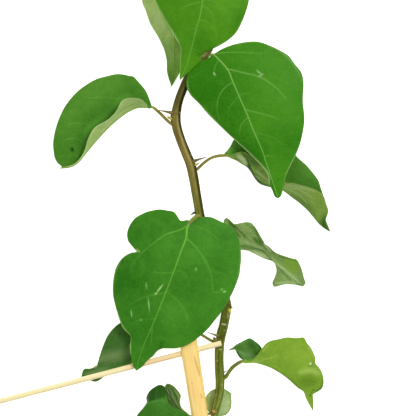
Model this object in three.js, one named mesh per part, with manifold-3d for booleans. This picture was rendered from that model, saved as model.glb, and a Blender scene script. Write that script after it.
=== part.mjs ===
import * as THREE from "three";
import { mergeVertices } from "three/addons/utils/BufferGeometryUtils.js";
import Module from "manifold-3d";

// A cut bougainvillea shoot with its leaves, thorns and buds, lying on its back together with the
// bamboo cane and the thin bamboo rung that it was trained on.
// Millimetres. +X is to the right and +Y up the shoot, as seen from above, and +Z is up from the
// surface it lies on. A place is [x, y, height]; a station of a stem adds its radius.

// Driving dimensions
const BLADE_THICKNESS = 0.5;
const BLADE_BULGE = [1.2, 1.2];
const PETIOLE_RADIUS = 0.75;
const PETIOLE_END_RADIUS = 0.4;
const CLEARANCE = 0.3;
const STEM_SIDES = 10;
const PETIOLE_SIDES = 6;
const HALF_BLADE_STEPS = 4;
const CANE_HEIGHT = 11;
const CANE_TOP_WIDTH = 10.9;
const CANE_END_WIDTH = 9.7;
const RUNG_RADIUS = 1.66;
const RUNG_HEIGHT = 7.35;
const PLAN_SHIFT = [28.05, -1.9];

const COLOURS = {
  bark: 0x7d7440,
  upperLeaf: 0x3f8a22,
  lowerLeaf: 0x8aa860,
  youngLeaf: 0x82aa37,
  thorn: 0x7a5a32,
  bud: 0xb0a050,
  bamboo: 0xf6d28a,
};

// The main stem from its cut lower end to its cut upper end: [x, y, height, radius]
const STEM_STATIONS = [
  [3.8, -130, 6, 2.2],
  [3.7, -125, 5.8, 2.3],
  [4.8, -120, 5.5, 2.45],
  [6.6, -112.5, 5.1, 2.6],
  [7.2, -105, 4.4, 2.65],
  [6.9, -98, 3.5, 2.7],
  [6.7, -90, 3, 2.6],
  [6.9, -84.5, 2.8, 2.7],
  [7.4, -80, 2.7, 2.65],
  [8.2, -75.5, 3.3, 2.85],
  [9.4, -71, 3.8, 2.75],
  [10.7, -64, 4.4, 2.8],
  [11.4, -59, 4.6, 2.85],
  [8, -47.5, 5.7, 2.75],
  [3.5, -32.5, 7, 2.75],
  [-1, -17, 8.2, 2.75],
  [-4.6, -5, 9, 2.75],
  [-6.5, 5.5, 9.8, 2.75],
  [-8.8, 19, 11, 2.9],
  [-10.4, 26, 11.6, 2.95],
  [-13.2, 33, 12, 2.85],
  [-16, 40, 12.6, 2.8],
  [-18.6, 48, 13.1, 2.9],
  [-19.4, 54.5, 13.5, 3],
  [-18.6, 60, 13.9, 2.7],
  [-17.35, 65, 14.3, 2.55],
  [-15.1, 71, 14.8, 2.55],
  [-12, 78, 15.3, 2.5],
  [-7, 85, 15.8, 2.5],
  [-2, 91.5, 16.2, 2.75],
  [2, 99.5, 16.7, 2.4],
  [3.5, 110, 17.3, 2.3],
  [3.5, 122, 18, 2.2],
  [1, 135.5, 18.6, 2.1],
  [-1, 150, 19, 2.05],
];

// Each leaf: its petiole from inside the stem to the base of the blade, the tip, and three rails
// from base to tip. Left and right are as seen on the upper side with the tip pointing down.
// A leaf may give its own bulge of the left and right halves, petiole scale and length steps.
const LEAVES = {
  leaf_top_front: {
    petiole: [[-0.5, 147, 19], [-0.5, 145, 20.5], [-1, 143.5, 23.5]],
    base: [-1, 140, 26.5],
    tip: [-16.8, 76.6, 22],
    left: [
      [-5.5, 146.5, 25.5], [-13, 149, 24.5], [-23, 146, 23.5], [-29.5, 138, 23],
      [-32, 129.5, 22.5], [-31.5, 125, 22.5], [-29.5, 119, 22.5], [-25.5, 112, 22.5],
      [-21.5, 105, 23], [-18, 100, 23], [-16.5, 96.5, 23], [-16.5, 90, 22.5], [-16.9, 82, 22],
    ],
    midrib: [
      [-2, 132, 27.5], [-3, 125, 28], [-4.5, 116, 28], [-7, 107, 27], [-10, 95, 25],
      [-12.5, 86, 23.5],
    ],
    right: [
      [3, 146.5, 26], [11, 147.5, 25], [19, 143, 24], [24.5, 134, 23.5], [24.7, 125, 23.5],
      [22.2, 116, 23.5], [19.5, 109.5, 23.5], [17, 105, 23.5], [13.2, 101.2, 23.5],
      [8.1, 97.7, 23.5], [3.5, 95.6, 23], [-0.6, 94.4, 22.7], [-3.2, 92.6, 22.5],
      [-4.8, 88.2, 22.3], [-8.4, 84.3, 22.2], [-12.5, 80.4, 22],
    ],
    colour: COLOURS.upperLeaf,
  },
  leaf_top_back: {
    petiole: [[-0.5, 143.5, 18.8], [-3, 143.5, 17.5], [-7, 146, 15.5]],
    base: [-13, 144.5, 13],
    tip: [-22, 73, 0.5],
    left: [
      [-7, 140, 12], [-3.5, 128, 10], [-5, 113, 8], [-8.5, 99.5, 6], [-13, 89, 4],
      [-18.1, 79.5, 2.5],
    ],
    midrib: [[-15.5, 137, 10], [-18.5, 125, 6.5], [-20, 113, 4], [-20.5, 98, 2.2], [-20.5, 86, 1.6]],
    right: [
      [-21.5, 149, 9], [-30, 145, 5], [-36.5, 138, 3], [-39.5, 129.5, 1.5], [-39.5, 123.5, 0.5],
      [-37.8, 119.3, 0], [-34.8, 111, 0], [-30.4, 104, 0], [-26.5, 95.5, 0], [-25, 89, 0.5],
      [-24.6, 81.5, 0.5],
    ],
    bulge: [0.3, 0.3],
    colour: COLOURS.lowerLeaf,
  },
  leaf_upper_right: {
    petiole: [[-3, 90.5, 16.2], [-0.5, 91, 17.8], [1, 91.5, 19.3]],
    base: [3, 92, 20.5],
    tip: [42.2, 5.8, 17],
    left: [
      [-1, 89, 20.5], [-5, 87.5, 20], [-11.2, 81.5, 19.5], [-12.8, 77, 19.5], [-12.8, 72.3, 19.5],
      [-10.2, 67.3, 19.5], [-5.6, 62.7, 19.5], [-0.1, 56.4, 19.5], [8, 48.4, 19.5],
      [15.8, 40.8, 19], [25.4, 32.2, 18.5], [32.4, 25.2, 18], [35.8, 20.2, 17.5], [36.6, 15, 17],
      [38.6, 10.4, 17], [40.2, 6.6, 17],
    ],
    midrib: [
      [5, 90.5, 21], [12, 82.5, 22.5], [14.5, 76.5, 23], [19, 66, 23], [23, 57, 22.5],
      [27, 47, 22], [32, 35.5, 21], [35, 27, 20], [38, 18, 19],
    ],
    right: [
      [8.4, 95.2, 21], [14.6, 97.7, 20.5], [23, 99.5, 20], [30, 99.6, 19.5], [36, 97.7, 19.5],
      [43.2, 94.4, 19], [48.5, 91, 19], [52, 86.4, 18.5], [55.9, 81.3, 18.5], [57.2, 75.5, 18.5],
      [56.8, 64.5, 18.5], [57.8, 53, 18.5], [56.5, 43.5, 18.5], [55, 38, 18.5], [52.5, 31.5, 18.5],
      [49.5, 25.5, 18.5], [47.5, 21.4, 18], [46.2, 17.4, 17.6], [45.3, 13.4, 17.4],
      [44.6, 9.8, 17.2], [43.6, 7, 17.1],
    ],
    colour: COLOURS.upperLeaf,
  },
  leaf_folded_right: {
    petiole: [[-9.3, 21, 11.2], [-6.3, 23.5, 11.8], [-2, 27.5, 12], [2.7, 30.4, 12], [8, 31.5, 11.4]],
    base: [12, 31.4, 10],
    tip: [73.9, -14.3, 0.5],
    left: [
      [13.8, 31.8, 11.5], [17.4, 33.2, 14], [19.8, 33.8, 15], [22.2, 33.4, 15.3], [25, 32.2, 15],
      [28, 30.6, 15], [31, 29, 15], [35, 26, 15], [40, 21, 15], [46.8, 15.4, 15], [51, 15, 15.5],
      [55.2, 13.9, 15.5], [60, 12.6, 15], [64.2, 11.1, 13.5], [67.6, 9.2, 12], [69.8, 6.6, 10.5],
      [70.9, 3, 9], [72.3, -1, 7], [72, -4, 5], [70.9, -7, 3.5], [71.3, -10, 2],
    ],
    midrib: [
      [15.6, 30.5, 8.5], [19.5, 28, 6.5], [25.2, 23.9, 4.5], [28.6, 18.3, 3], [32.1, 14.6, 2],
      [37, 13.1, 1.5], [45.3, 11, 1], [49.3, 7.8, 0.5], [55.1, 3.5, 0.5], [61.3, -2.3, 0.5],
      [67.9, -10.2, 0.5],
    ],
    right: [
      [9.8, 32.7, 10.2], [11.4, 34.4, 10.6], [13.3, 37, 11], [15.5, 41, 12], [22, 48, 12],
      [32.5, 50, 11], [43, 43, 11], [53, 31.4, 10.5], [55.5, 28.9, 10.5], [58.7, 26.2, 10.5],
      [61.8, 22.7, 10], [64.5, 19.3, 9.5], [66.5, 16.3, 9], [67.8, 12.2, 8.5], [69.4, 7.4, 7.5],
      [70.6, 2, 5], [70.8, -6, 2.5],
    ],
    bulge: [-0.8, -0.5],
    petioleScale: 1.2,
    lengthSteps: 20,
    colour: COLOURS.upperLeaf,
  },
  leaf_folded_left: {
    petiole: [
      [-19, 49.4, 13.5], [-22.3, 50.7, 13.7], [-25.1, 53.2, 13.9], [-28.5, 56.6, 13.8],
      [-32, 59.7, 13.1],
    ],
    base: [-33.5, 60.6, 12.5],
    tip: [-89.9, 23.9, 0],
    left: [
      [-35.3, 65.8, 11], [-37.5, 70.7, 10.5], [-41.5, 75.6, 10], [-45, 79.1, 10],
      [-47.6, 79.5, 10], [-50.2, 80.2, 9.8], [-55, 80.5, 9.4], [-59, 79.7, 9], [-67.1, 77.5, 8.5],
      [-73.7, 73.8, 8], [-79.7, 69, 7], [-86.2, 60.8, 6], [-89.5, 54.2, 5], [-91.9, 47.1, 4],
      [-93.3, 39, 3], [-93, 34, 2], [-92.2, 29.8, 1.2], [-90.2, 26.7, 0.8], [-87.6, 25.1, 0.5],
    ],
    midrib: [
      [-36.5, 60.6, 11.5], [-41, 61, 10], [-47.6, 58.5, 8], [-56.9, 51.3, 5.5], [-66.4, 41.4, 3],
      [-74.4, 31.8, 1.5], [-79.2, 26.6, 0.5], [-83.6, 24.6, 0],
    ],
    right: [
      [-35.5, 59.5, 13.5], [-36.5, 62, 16], [-40.5, 65.5, 18], [-45, 66, 19], [-51, 64.5, 19.5],
      [-55, 58.5, 18], [-61, 52.5, 16], [-68, 48, 14], [-72.5, 41, 11.5], [-74, 35.5, 9],
      [-76, 31, 6.5], [-80, 27, 4], [-86, 25, 1.2],
    ],
    bulge: [0.6, 0.6],
    petioleScale: 1.22,
    lengthSteps: 18,
    colour: COLOURS.upperLeaf,
  },
  leaf_middle_front: {
    petiole: [
      [-5.2, -5.2, 9.5], [-6, -4.6, 14], [-6.9, -4.9, 18], [-8.2, -6.1, 20.2], [-9.8, -7.6, 20.6],
    ],
    base: [-11.2, -9.2, 19.8],
    tip: [-43, -97.8, 10],
    left: [
      [-11.7, -7.4, 19.6], [-12.6, -7.1, 19.2], [-14.2, -7.5, 18.8], [-16.4, -7.5, 18.4],
      [-18, -6.2, 18], [-18.9, -4.5, 17.7], [-20.2, -2.4, 17.5], [-24.6, -1.4, 17],
      [-28.6, -0.8, 16], [-32.6, -1.3, 15.5], [-36.7, -2.3, 15], [-41, -4.3, 14.5],
      [-43.5, -5.8, 14.5], [-46.4, -9.3, 14], [-48.1, -13, 14], [-48.6, -16.4, 14],
      [-47.6, -20.4, 14], [-44.9, -22.6, 14.2], [-42.8, -23.9, 14.5], [-42.1, -25.3, 15],
      [-43.5, -26.5, 14.8], [-45.8, -26.8, 14.5], [-49.5, -28.6, 14], [-52.8, -31.7, 13.6],
      [-55.4, -36.3, 13.2], [-56.8, -42.3, 12.8], [-57.2, -46.9, 12.5], [-57, -52.5, 12],
      [-55.5, -59, 12], [-53, -67.5, 12], [-51, -72, 12], [-46.5, -77, 12], [-47, -83.5, 11.5],
      [-46, -90, 11], [-45, -95, 10.5],
    ],
    midrib: [
      [-12.5, -12, 20], [-13, -17.5, 20.5], [-16, -25.5, 20], [-20.5, -38, 19], [-25.5, -51, 18],
      [-32.5, -68.5, 15.5], [-38, -81, 13], [-41.5, -91, 11],
    ],
    right: [
      [-10.1, -8, 19.4], [-8.6, -7.2, 19], [-7.2, -6.8, 18.7], [-5.9, -6.3, 18.4],
      [-4.4, -5.8, 18.2], [-2.4, -5.3, 18.1], [1.2, -5.3, 18], [3.6, -6.1, 17.7],
      [5.9, -7.2, 17.3], [10, -9.1, 16.8], [13.7, -10.8, 16.5], [17.3, -15.8, 16],
      [18.9, -20.5, 16], [19.9, -29.5, 15.5], [19.5, -35, 15.5], [18.8, -40.2, 15.5],
      [16, -48, 15], [12.5, -55, 14.5], [9, -61, 14.5], [4, -67.5, 14.5], [0, -72.5, 14.5],
      [-8, -79.5, 14], [-14.4, -83, 14], [-19.5, -84.2, 13.5], [-25.5, -83.8, 13],
      [-30.1, -85.6, 12], [-33, -89, 11.5], [-36.4, -91.6, 11], [-39.3, -95.2, 10.5],
    ],
    petioleScale: 1.5,
    lengthSteps: 26,
    colour: COLOURS.upperLeaf,
  },
  leaf_twisted_right: {
    petiole: [[3.5, -32.5, 7], [5.5, -32.5, 7], [8.5, -30, 7], [11.5, -27.5, 7]],
    base: [14.5, -25, 7],
    tip: [57.2, -47.4, 0.5],
    left: [
      [11.5, -19, 8], [9.4, -12, 9.5], [9.5, -8.2, 10], [10, -6.6, 10.3], [11.1, -6, 10.6],
      [12.3, -6.5, 11], [13.5, -8.1, 11.4], [15.6, -9.4, 12], [19, -9, 12], [23.4, -8.4, 11],
      [26.4, -9.2, 10.4], [28.5, -12.6, 9.6], [30.2, -16.8, 9], [32.4, -20.3, 8.6],
      [36.9, -23.1, 8.5], [40.3, -26.4, 8.5], [47.6, -29.5, 9], [50.8, -30.4, 9], [53.4, -31.1, 9],
      [56.1, -36, 7], [58, -42.6, 4], [58.8, -45.2, 2],
    ],
    midrib: [
      [19, -24.5, 6.5], [25, -23.5, 6], [31, -24, 6], [36, -27, 6], [41, -33.5, 6],
      [47.5, -38.5, 5], [53, -43.5, 2.5],
    ],
    right: [
      [18, -25, 4], [23, -25.4, 3], [28.1, -27.8, 3], [33.4, -30.2, 3], [39.4, -32.3, 3.4],
      [40.9, -35, 3], [41.3, -39.6, 2], [39, -45.4, 0.8], [39.8, -47.3, 0.5], [46.8, -46, 1.4],
      [53, -46.3, 1.2],
    ],
    bulge: [0.5, 0.5],
    lengthSteps: 20,
    colour: COLOURS.lowerLeaf,
  },
  leaf_lower_left: {
    petiole: [
      [5.5, -81.3, 2.9], [2.8, -80.3, 3], [0, -78.7, 3.3], [-4, -76.2, 3.5], [-11, -72, 4],
      [-18, -73, 4],
    ],
    base: [-25, -80, 3.5],
    tip: [-76.5, -101.8, 0],
    left: [
      [-27, -74.5, 3.5], [-31, -68.5, 3.5], [-37, -65, 3.5], [-45, -65, 4], [-53, -69.1, 4],
      [-56.3, -71.7, 4], [-60.3, -76.7, 4], [-63, -82.5, 3.5], [-65.5, -89.5, 3],
      [-67.4, -95.3, 2], [-71, -96.7, 1.5], [-74.7, -97, 1],
    ],
    midrib: [[-35, -83, 3], [-46.5, -89, 2.5], [-57.5, -92.5, 2], [-66, -95, 1.5], [-72, -98, 0.5]],
    right: [
      [-29, -83, 2.5], [-36, -86.5, 1.5], [-42, -91, 0.5], [-50, -96.5, 0], [-57, -99.5, 0],
      [-62.8, -101.8, 0], [-65, -103.5, 0], [-68, -104.7, 0], [-71, -103.9, 0], [-73.8, -102.7, 0],
    ],
    petioleScale: 1.13,
    colour: COLOURS.upperLeaf,
  },
  leaf_lower_right: {
    petiole: [
      [7.4, -103, 4.2], [10.5, -102.2, 5], [13, -98.4, 6], [15.8, -95.2, 7.4], [18.6, -93.1, 9],
    ],
    base: [21, -92.2, 10],
    tip: [63.4, -122.2, 3],
    left: [
      [26.5, -91.5, 11], [29.8, -88.2, 13], [32.3, -84.4, 15], [34.8, -81.3, 16],
      [37.4, -79.7, 16], [42, -78.6, 16], [47.5, -77.5, 15.5], [53, -78, 15], [57.5, -77.8, 14.5],
      [59.2, -80.7, 14], [61.8, -84, 13.7], [63.6, -87.5, 13.3], [64.6, -90.4, 13],
      [64.5, -93, 12.7], [66.3, -95.2, 12.2], [68.2, -98.2, 11.5], [69.2, -101.4, 10.5],
      [69.4, -105.8, 9.2], [68.2, -108.9, 8.2], [65.6, -110, 7.2], [63, -109.7, 6.3],
      [63.2, -113.4, 5.2], [63.4, -117.5, 4.2],
    ],
    midrib: [
      [27.5, -92.1, 9.5], [32.5, -93.3, 9], [37.9, -95.4, 8.5], [43.4, -98.7, 7.5],
      [48.8, -102.7, 6.5], [53.7, -107.3, 5], [58, -110.5, 4.5], [59.5, -114.5, 4],
    ],
    right: [
      [27.5, -90, 7], [35, -86.5, 5], [44, -86, 3], [53, -90.5, 1.5], [59.5, -98.5, 0],
      [62.5, -107, 0], [62, -114, 1.5],
    ],
    bulge: [0.8, 0.8],
    petioleScale: 1.2,
    lengthSteps: 20,
    colour: COLOURS.youngLeaf,
  },
  leaf_small_young: {
    petiole: [
      [7.4, -101.8, 3], [10.2, -101, 3.2], [14, -95.8, 4.2], [17.4, -93.2, 5.2], [19.8, -92, 6.2],
    ],
    base: [22, -91.5, 6.8],
    tip: [12.6, -85.6, 8.5],
    left: [
      [25, -91, 5.6], [29, -89.5, 5.2], [31.9, -86.4, 5.8], [32.4, -84.5, 6.4], [30.6, -81.9, 7.2],
      [28, -79.9, 8], [25.3, -78.3, 8.6], [23, -78.9, 9], [21, -80, 9], [17.6, -82.9, 9],
      [15.6, -83.8, 9], [14, -84.2, 9],
    ],
    midrib: [[22, -89, 7.5], [20.5, -86.5, 8], [18, -85, 8.5], [16, -84, 9]],
    right: [
      [20.2, -90.9, 6.5], [18.1, -88.7, 7], [17.3, -87.1, 7.5], [16.9, -85.4, 8], [16, -84.5, 8.5],
      [14.5, -84.5, 8.5],
    ],
    petioleScale: 0.7,
    colour: COLOURS.upperLeaf,
  },
  leaf_curled_bottom: {
    petiole: [
      [4.2, -122.8, 5.2], [2.3, -123.4, 4.2], [0.6, -123.9, 3], [-2.5, -123.8, 1.5],
      [-6.5, -124.5, 1],
    ],
    base: [-11, -125.5, 1.5],
    tip: [-35, -146.5, 8],
    left: [
      [-21.5, -122.5, 2.5], [-30.5, -120, 4], [-35, -116.8, 6], [-37, -114.4, 9],
      [-36.6, -117.8, 12], [-38.2, -119.5, 13], [-41, -122.3, 13.5], [-42.6, -124.4, 13.5],
      [-45.2, -130, 13], [-42.5, -139, 11],
    ],
    midrib: [
      [-18, -119.5, 4], [-23, -112.2, 6.5], [-26.8, -106.9, 8.5], [-30.2, -106.6, 11],
      [-31.5, -110.5, 14], [-30.5, -116.5, 15.5], [-30, -124, 16], [-32, -136, 13],
    ],
    right: [
      [-13.2, -123, 1.6], [-15.6, -121.2, 1.8], [-17, -118.4, 2.2], [-16.8, -115, 2.8],
      [-16.4, -112.8, 3.8], [-18.5, -109.4, 5.5], [-21, -106.8, 7.5], [-24.4, -105.4, 9.5],
      [-25.9, -107.2, 11.5], [-25.2, -110.6, 13], [-24.8, -114, 14], [-23.9, -116.6, 14.5],
      [-21.8, -118.6, 15], [-17.8, -120.9, 15], [-13.6, -123, 14.8], [-10, -124.9, 14.5],
      [-9.4, -129, 13.5], [-18, -139, 11],
    ],
    bulge: [1.4, -0.4],
    petioleScale: 0.96,
    lengthSteps: 20,
    colour: COLOURS.upperLeaf,
  },
  leaf_small_round: {
    petiole: [[4.3, -121.5, 4.6], [2.8, -122, 3.2], [1.8, -122.8, 2.4]],
    base: [1, -123.5, 1.5],
    tip: [14.4, -112, 0],
    left: [
      [-1, -120.5, 0.8], [-1.6, -116.8, 0.5], [-1.2, -113.7, 0.5], [0.9, -110.8, 0.5],
      [3.8, -109.3, 0.5], [7, -108.9, 0], [9.6, -108.9, 0], [12.1, -110.3, 0],
    ],
    midrib: [[4, -120, 1], [8, -116.5, 0.5], [11.5, -113.5, 0]],
    right: [
      [3.5, -125.8, 1], [7.5, -125.5, 0.5], [11.1, -124.5, 0], [13.2, -122.2, 0],
      [14.1, -118.8, 0], [14.2, -115.6, 0], [13.8, -113.4, 0],
    ],
    petioleScale: 0.75,
    colour: COLOURS.lowerLeaf,
  },
};

// Thorns: a path from inside the stem to the point, and the radius at the root
const THORNS = {
  thorn_first: { path: [[8, -99.6, 4], [10, -98.7, 4.6], [11.9, -97.5, 5]], radius: 0.6 },
  thorn_second: { path: [[7, -77.2, 4.5], [3.8, -76.2, 5.6], [-1.2, -74.4, 6.4]], radius: 0.75 },
  thorn_stub: { path: [[11.5, -58.5, 6], [13.3, -59.2, 7], [15.1, -60, 7.8]], radius: 0.9 },
  thorn_fourth: { path: [[-6, -2.6, 9.6], [-8.4, -2.9, 10.4], [-10.4, -4.3, 10.8]], radius: 1.15 },
  thorn_fifth: { path: [[-9.8, 27.5, 12.5], [-5.7, 29.1, 13.6], [-0.8, 30.6, 14.2]], radius: 1.08 },
  thorn_sixth: { path: [[-20, 56.5, 14.5], [-24.2, 57.6, 15.8], [-29.4, 58.6, 16.6]], radius: 1.12 },
  thorn_seventh: { path: [[-0.5, 92.8, 17], [1.8, 94.2, 18.2], [3.6, 96, 18.8]], radius: 0.75 },
};

// Buds: a path from inside the stem to the tip of the bud, and its largest radius
const BUDS = {
  bud_first: { path: [[3.9, -122.2, 6.5], [3.3, -122.3, 8], [3.3, -121, 8.8]], radius: 1.2 },
  bud_second: { path: [[5.6, -79.3, 4.2], [3.9, -79.1, 5.6], [3.5, -77.6, 6.3]], radius: 1.05 },
  bud_third: { path: [[11.8, -60.5, 5.5], [13, -61.6, 6.9], [13, -64, 7]], radius: 1.2 },
  bud_fourth: { path: [[-9, 25.6, 13], [-6.7, 26.2, 13.8], [-5.4, 27, 14]], radius: 0.85 },
  bud_fifth: { path: [[-20.5, 53.4, 14.5], [-23, 53.9, 15.4], [-24.4, 55, 15.9]], radius: 0.9 },
  bud_sixth: { path: [[-3.5, 91.5, 17], [-3.4, 90.3, 19], [-3.9, 89.5, 19.8]], radius: 0.8 },
};

// The cane's centre line on the surface, the ends of the rung, and the cane's outline across
const CANE_TOP = [-12.4, -76.8];
const CANE_END = [-3.7, -132];
const CANE_FLAT_END_Y = -106;
const CANE_END_RISE = 6.6;
const RUNG_LEFT = [-129.6, -117.3];
const RUNG_RIGHT = [8, -81.3];
const CANE_OUTLINE = [
  [-0.42, 0], [0.42, 0], [0.5, 0.14], [0.5, 0.72], [0.34, 0.95], [0.16, 1], [-0.36, 1],
  [-0.5, 0.88], [-0.5, 0.14],
];

const wasm = await Module();
wasm.setup();

const vector = ([x, y, z]) => new THREE.Vector3(x, y, z);

function smoothCurve(places) {
  const curve = new THREE.CatmullRomCurve3(places.map(vector), false, "centripetal");
  curve.arcLengthDivisions = 20 * places.length;
  return curve;
}

// Nothing reaches below the surface that the shoot lies on.
function aboveSurface(point, lowest = 0) {
  point.z = Math.max(point.z, lowest);
  return point;
}

// A closed surface over rings of points, each ring the same length, closed by a fan to a point at
// either end. Its triangles are turned round if they come out facing inwards.
function skin(rings, startPoint, endPoint) {
  const count = rings[0].length;
  const points = [...rings.flat(), startPoint, endPoint];
  const start = points.length - 2;
  const end = points.length - 1;
  const triangles = [];
  for (let i = 0; i < count; i += 1) {
    const next = (i + 1) % count;
    const last = (rings.length - 1) * count;
    triangles.push([start, next, i]);
    triangles.push([end, last + i, last + next]);
    for (let ring = 0; ring < rings.length - 1; ring += 1) {
      const low = ring * count;
      const high = low + count;
      triangles.push([low + i, low + next, high + next]);
      triangles.push([low + i, high + next, high + i]);
    }
  }
  const cross = new THREE.Vector3();
  const volume = triangles.reduce(
    (sum, [a, b, c]) => sum + points[a].dot(cross.crossVectors(points[b], points[c])), 0);
  if (volume < 0) triangles.forEach((triangle) => triangle.reverse());
  const geometry = new THREE.BufferGeometry().setFromPoints(points);
  geometry.setIndex(triangles.flat());
  return geometry;
}

// A round solid along a path, with flat ends; radiusAt gives its radius from 0 to 1 along it.
function roundSolid(path, radiusAt, steps, sides) {
  const frames = path.computeFrenetFrames(steps, false);
  const rings = [];
  for (let step = 0; step <= steps; step += 1) {
    const along = step / steps;
    const centre = path.getPointAt(along);
    const ring = [];
    for (let side = 0; side < sides; side += 1) {
      const angle = (2 * Math.PI * side) / sides;
      const offset = frames.normals[step].clone().multiplyScalar(Math.cos(angle));
      offset.addScaledVector(frames.binormals[step], Math.sin(angle));
      ring.push(aboveSurface(centre.clone().addScaledVector(offset, radiusAt(along))));
    }
    rings.push(ring);
  }
  return skin(rings, path.getPointAt(0), path.getPointAt(1));
}

// The solid of a geometry whose vertices are shared, for cutting and joining
function solidOf(geometry) {
  return new wasm.Manifold(new wasm.Mesh({
    numProp: 3,
    vertProperties: new Float32Array(geometry.attributes.position.array),
    triVerts: new Uint32Array(geometry.index.array),
  }));
}

function geometryOf(solid) {
  const mesh = solid.getMesh();
  const geometry = new THREE.BufferGeometry();
  geometry.setAttribute("position", new THREE.BufferAttribute(mesh.vertProperties, 3));
  geometry.setIndex(new THREE.BufferAttribute(mesh.triVerts, 1));
  return geometry;
}

function mergedSolid(geometry) {
  geometry.deleteAttribute("normal");
  geometry.deleteAttribute("uv");
  return solidOf(mergeVertices(geometry));
}

// The main stem, thicker by extra all round; the grown copy cuts what meets the stem.
function stemGeometry(extra) {
  const path = smoothCurve(STEM_STATIONS);
  const radii = smoothCurve(STEM_STATIONS.map(([x, y, , radius]) => [x, y, radius]));
  const steps = 2 * STEM_STATIONS.length;
  return roundSolid(path, (along) => radii.getPointAt(along).z + extra, steps, STEM_SIDES);
}

const stemClearance = solidOf(stemGeometry(CLEARANCE));
const clearOfStem = (solid) => geometryOf(solid.subtract(stemClearance));

// The middle surface of a blade: rows from base to tip, each from the left margin over the midrib
// to the right margin. A half is a straight line between its rails, bulged to the upper side by
// its bulge times a half sine across and along.
function bladeRows(leaf) {
  const rail = (places) => smoothCurve([leaf.base, ...places, leaf.tip]);
  const [left, midrib, right] = [leaf.left, leaf.midrib, leaf.right].map(rail);
  const [leftBulge, rightBulge] = leaf.bulge ?? BLADE_BULGE;
  const lengthSteps = leaf.lengthSteps ?? 15;
  const rows = [];
  for (let step = 1; step < lengthSteps; step += 1) {
    const along = step / lengthSteps;
    const centre = midrib.getPointAt(along);
    const direction = midrib.getTangentAt(along);
    const row = [];
    for (let across = -HALF_BLADE_STEPS; across <= HALF_BLADE_STEPS; across += 1) {
      const share = Math.abs(across) / HALF_BLADE_STEPS;
      const margin = (across < 0 ? left : right).getPointAt(along);
      const width = margin.clone().sub(centre);
      const upward = direction.clone().cross(width).normalize();
      const most = across < 0 ? leftBulge : rightBulge;
      const bulge = most * Math.sin(Math.PI * share) * Math.sin(Math.PI * along);
      const point = centre.clone().addScaledVector(width, share);
      point.addScaledVector(upward, across < 0 ? -bulge : bulge);
      row.push(aboveSurface(point, BLADE_THICKNESS / 2));
    }
    rows.push(row);
  }
  return rows;
}

// The unit normal of the middle surface on its upper side, at one point of the rows. Both ways
// across count alike, so on a fold it halves the angle between the sides.
function bladeNormal(rows, row, column) {
  const point = rows[row][column];
  const before = rows[Math.max(row - 1, 0)][column];
  const after = rows[Math.min(row + 1, rows.length - 1)][column];
  const left = rows[row][Math.max(column - 1, 0)];
  const right = rows[row][Math.min(column + 1, rows[row].length - 1)];
  const across = point.clone().sub(left).normalize().add(right.clone().sub(point).normalize());
  return after.clone().sub(before).cross(across).normalize();
}

// The blade as a thin closed solid, half its thickness to either side of the middle surface
function bladeSolid(leaf, rows) {
  const rings = rows.map((points, row) => {
    const side = (half) => points.map((point, column) => aboveSurface(
      point.clone().addScaledVector(bladeNormal(rows, row, column), half)));
    return [...side(BLADE_THICKNESS / 2), ...side(-BLADE_THICKNESS / 2).reverse()];
  });
  const ends = [leaf.base, leaf.tip].map((place) => aboveSurface(vector(place), BLADE_THICKNESS / 2));
  return solidOf(skin(rings, ...ends));
}

// The petiole runs from inside the stem to the base of the blade and on under the midrib.
function petioleSolid(leaf, rows) {
  const scale = leaf.petioleScale ?? 1;
  const underMidrib = [0, 1].map((row) => {
    const normal = bladeNormal(rows, row, HALF_BLADE_STEPS);
    return rows[row][HALF_BLADE_STEPS].clone().addScaledVector(normal, -0.75 * PETIOLE_END_RADIUS);
  });
  const places = [...leaf.petiole, leaf.base, ...underMidrib.map((point) => point.toArray())];
  const radiusAt = (along) => scale * THREE.MathUtils.lerp(PETIOLE_RADIUS, PETIOLE_END_RADIUS, along);
  return solidOf(roundSolid(smoothCurve(places), radiusAt, 12, PETIOLE_SIDES));
}

function leafGeometry(leaf) {
  const rows = bladeRows(leaf);
  const petiole = petioleSolid(leaf, rows).subtract(stemClearance);
  return geometryOf(petiole.add(bladeSolid(leaf, rows)));
}

function thornGeometry({ path, radius }) {
  const radiusAt = (along) => radius * (1 - 0.85 * along);
  return clearOfStem(solidOf(roundSolid(smoothCurve(path), radiusAt, 5, PETIOLE_SIDES)));
}

function budGeometry({ path, radius }) {
  const radiusAt = (along) => radius * Math.sqrt(1 - 0.96 * along ** 2);
  return clearOfStem(solidOf(roundSolid(smoothCurve(path), radiusAt, 5, PETIOLE_SIDES)));
}

function rungAxis() {
  return new THREE.LineCurve3(vector([...RUNG_LEFT, RUNG_HEIGHT]), vector([...RUNG_RIGHT, RUNG_HEIGHT]));
}

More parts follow.
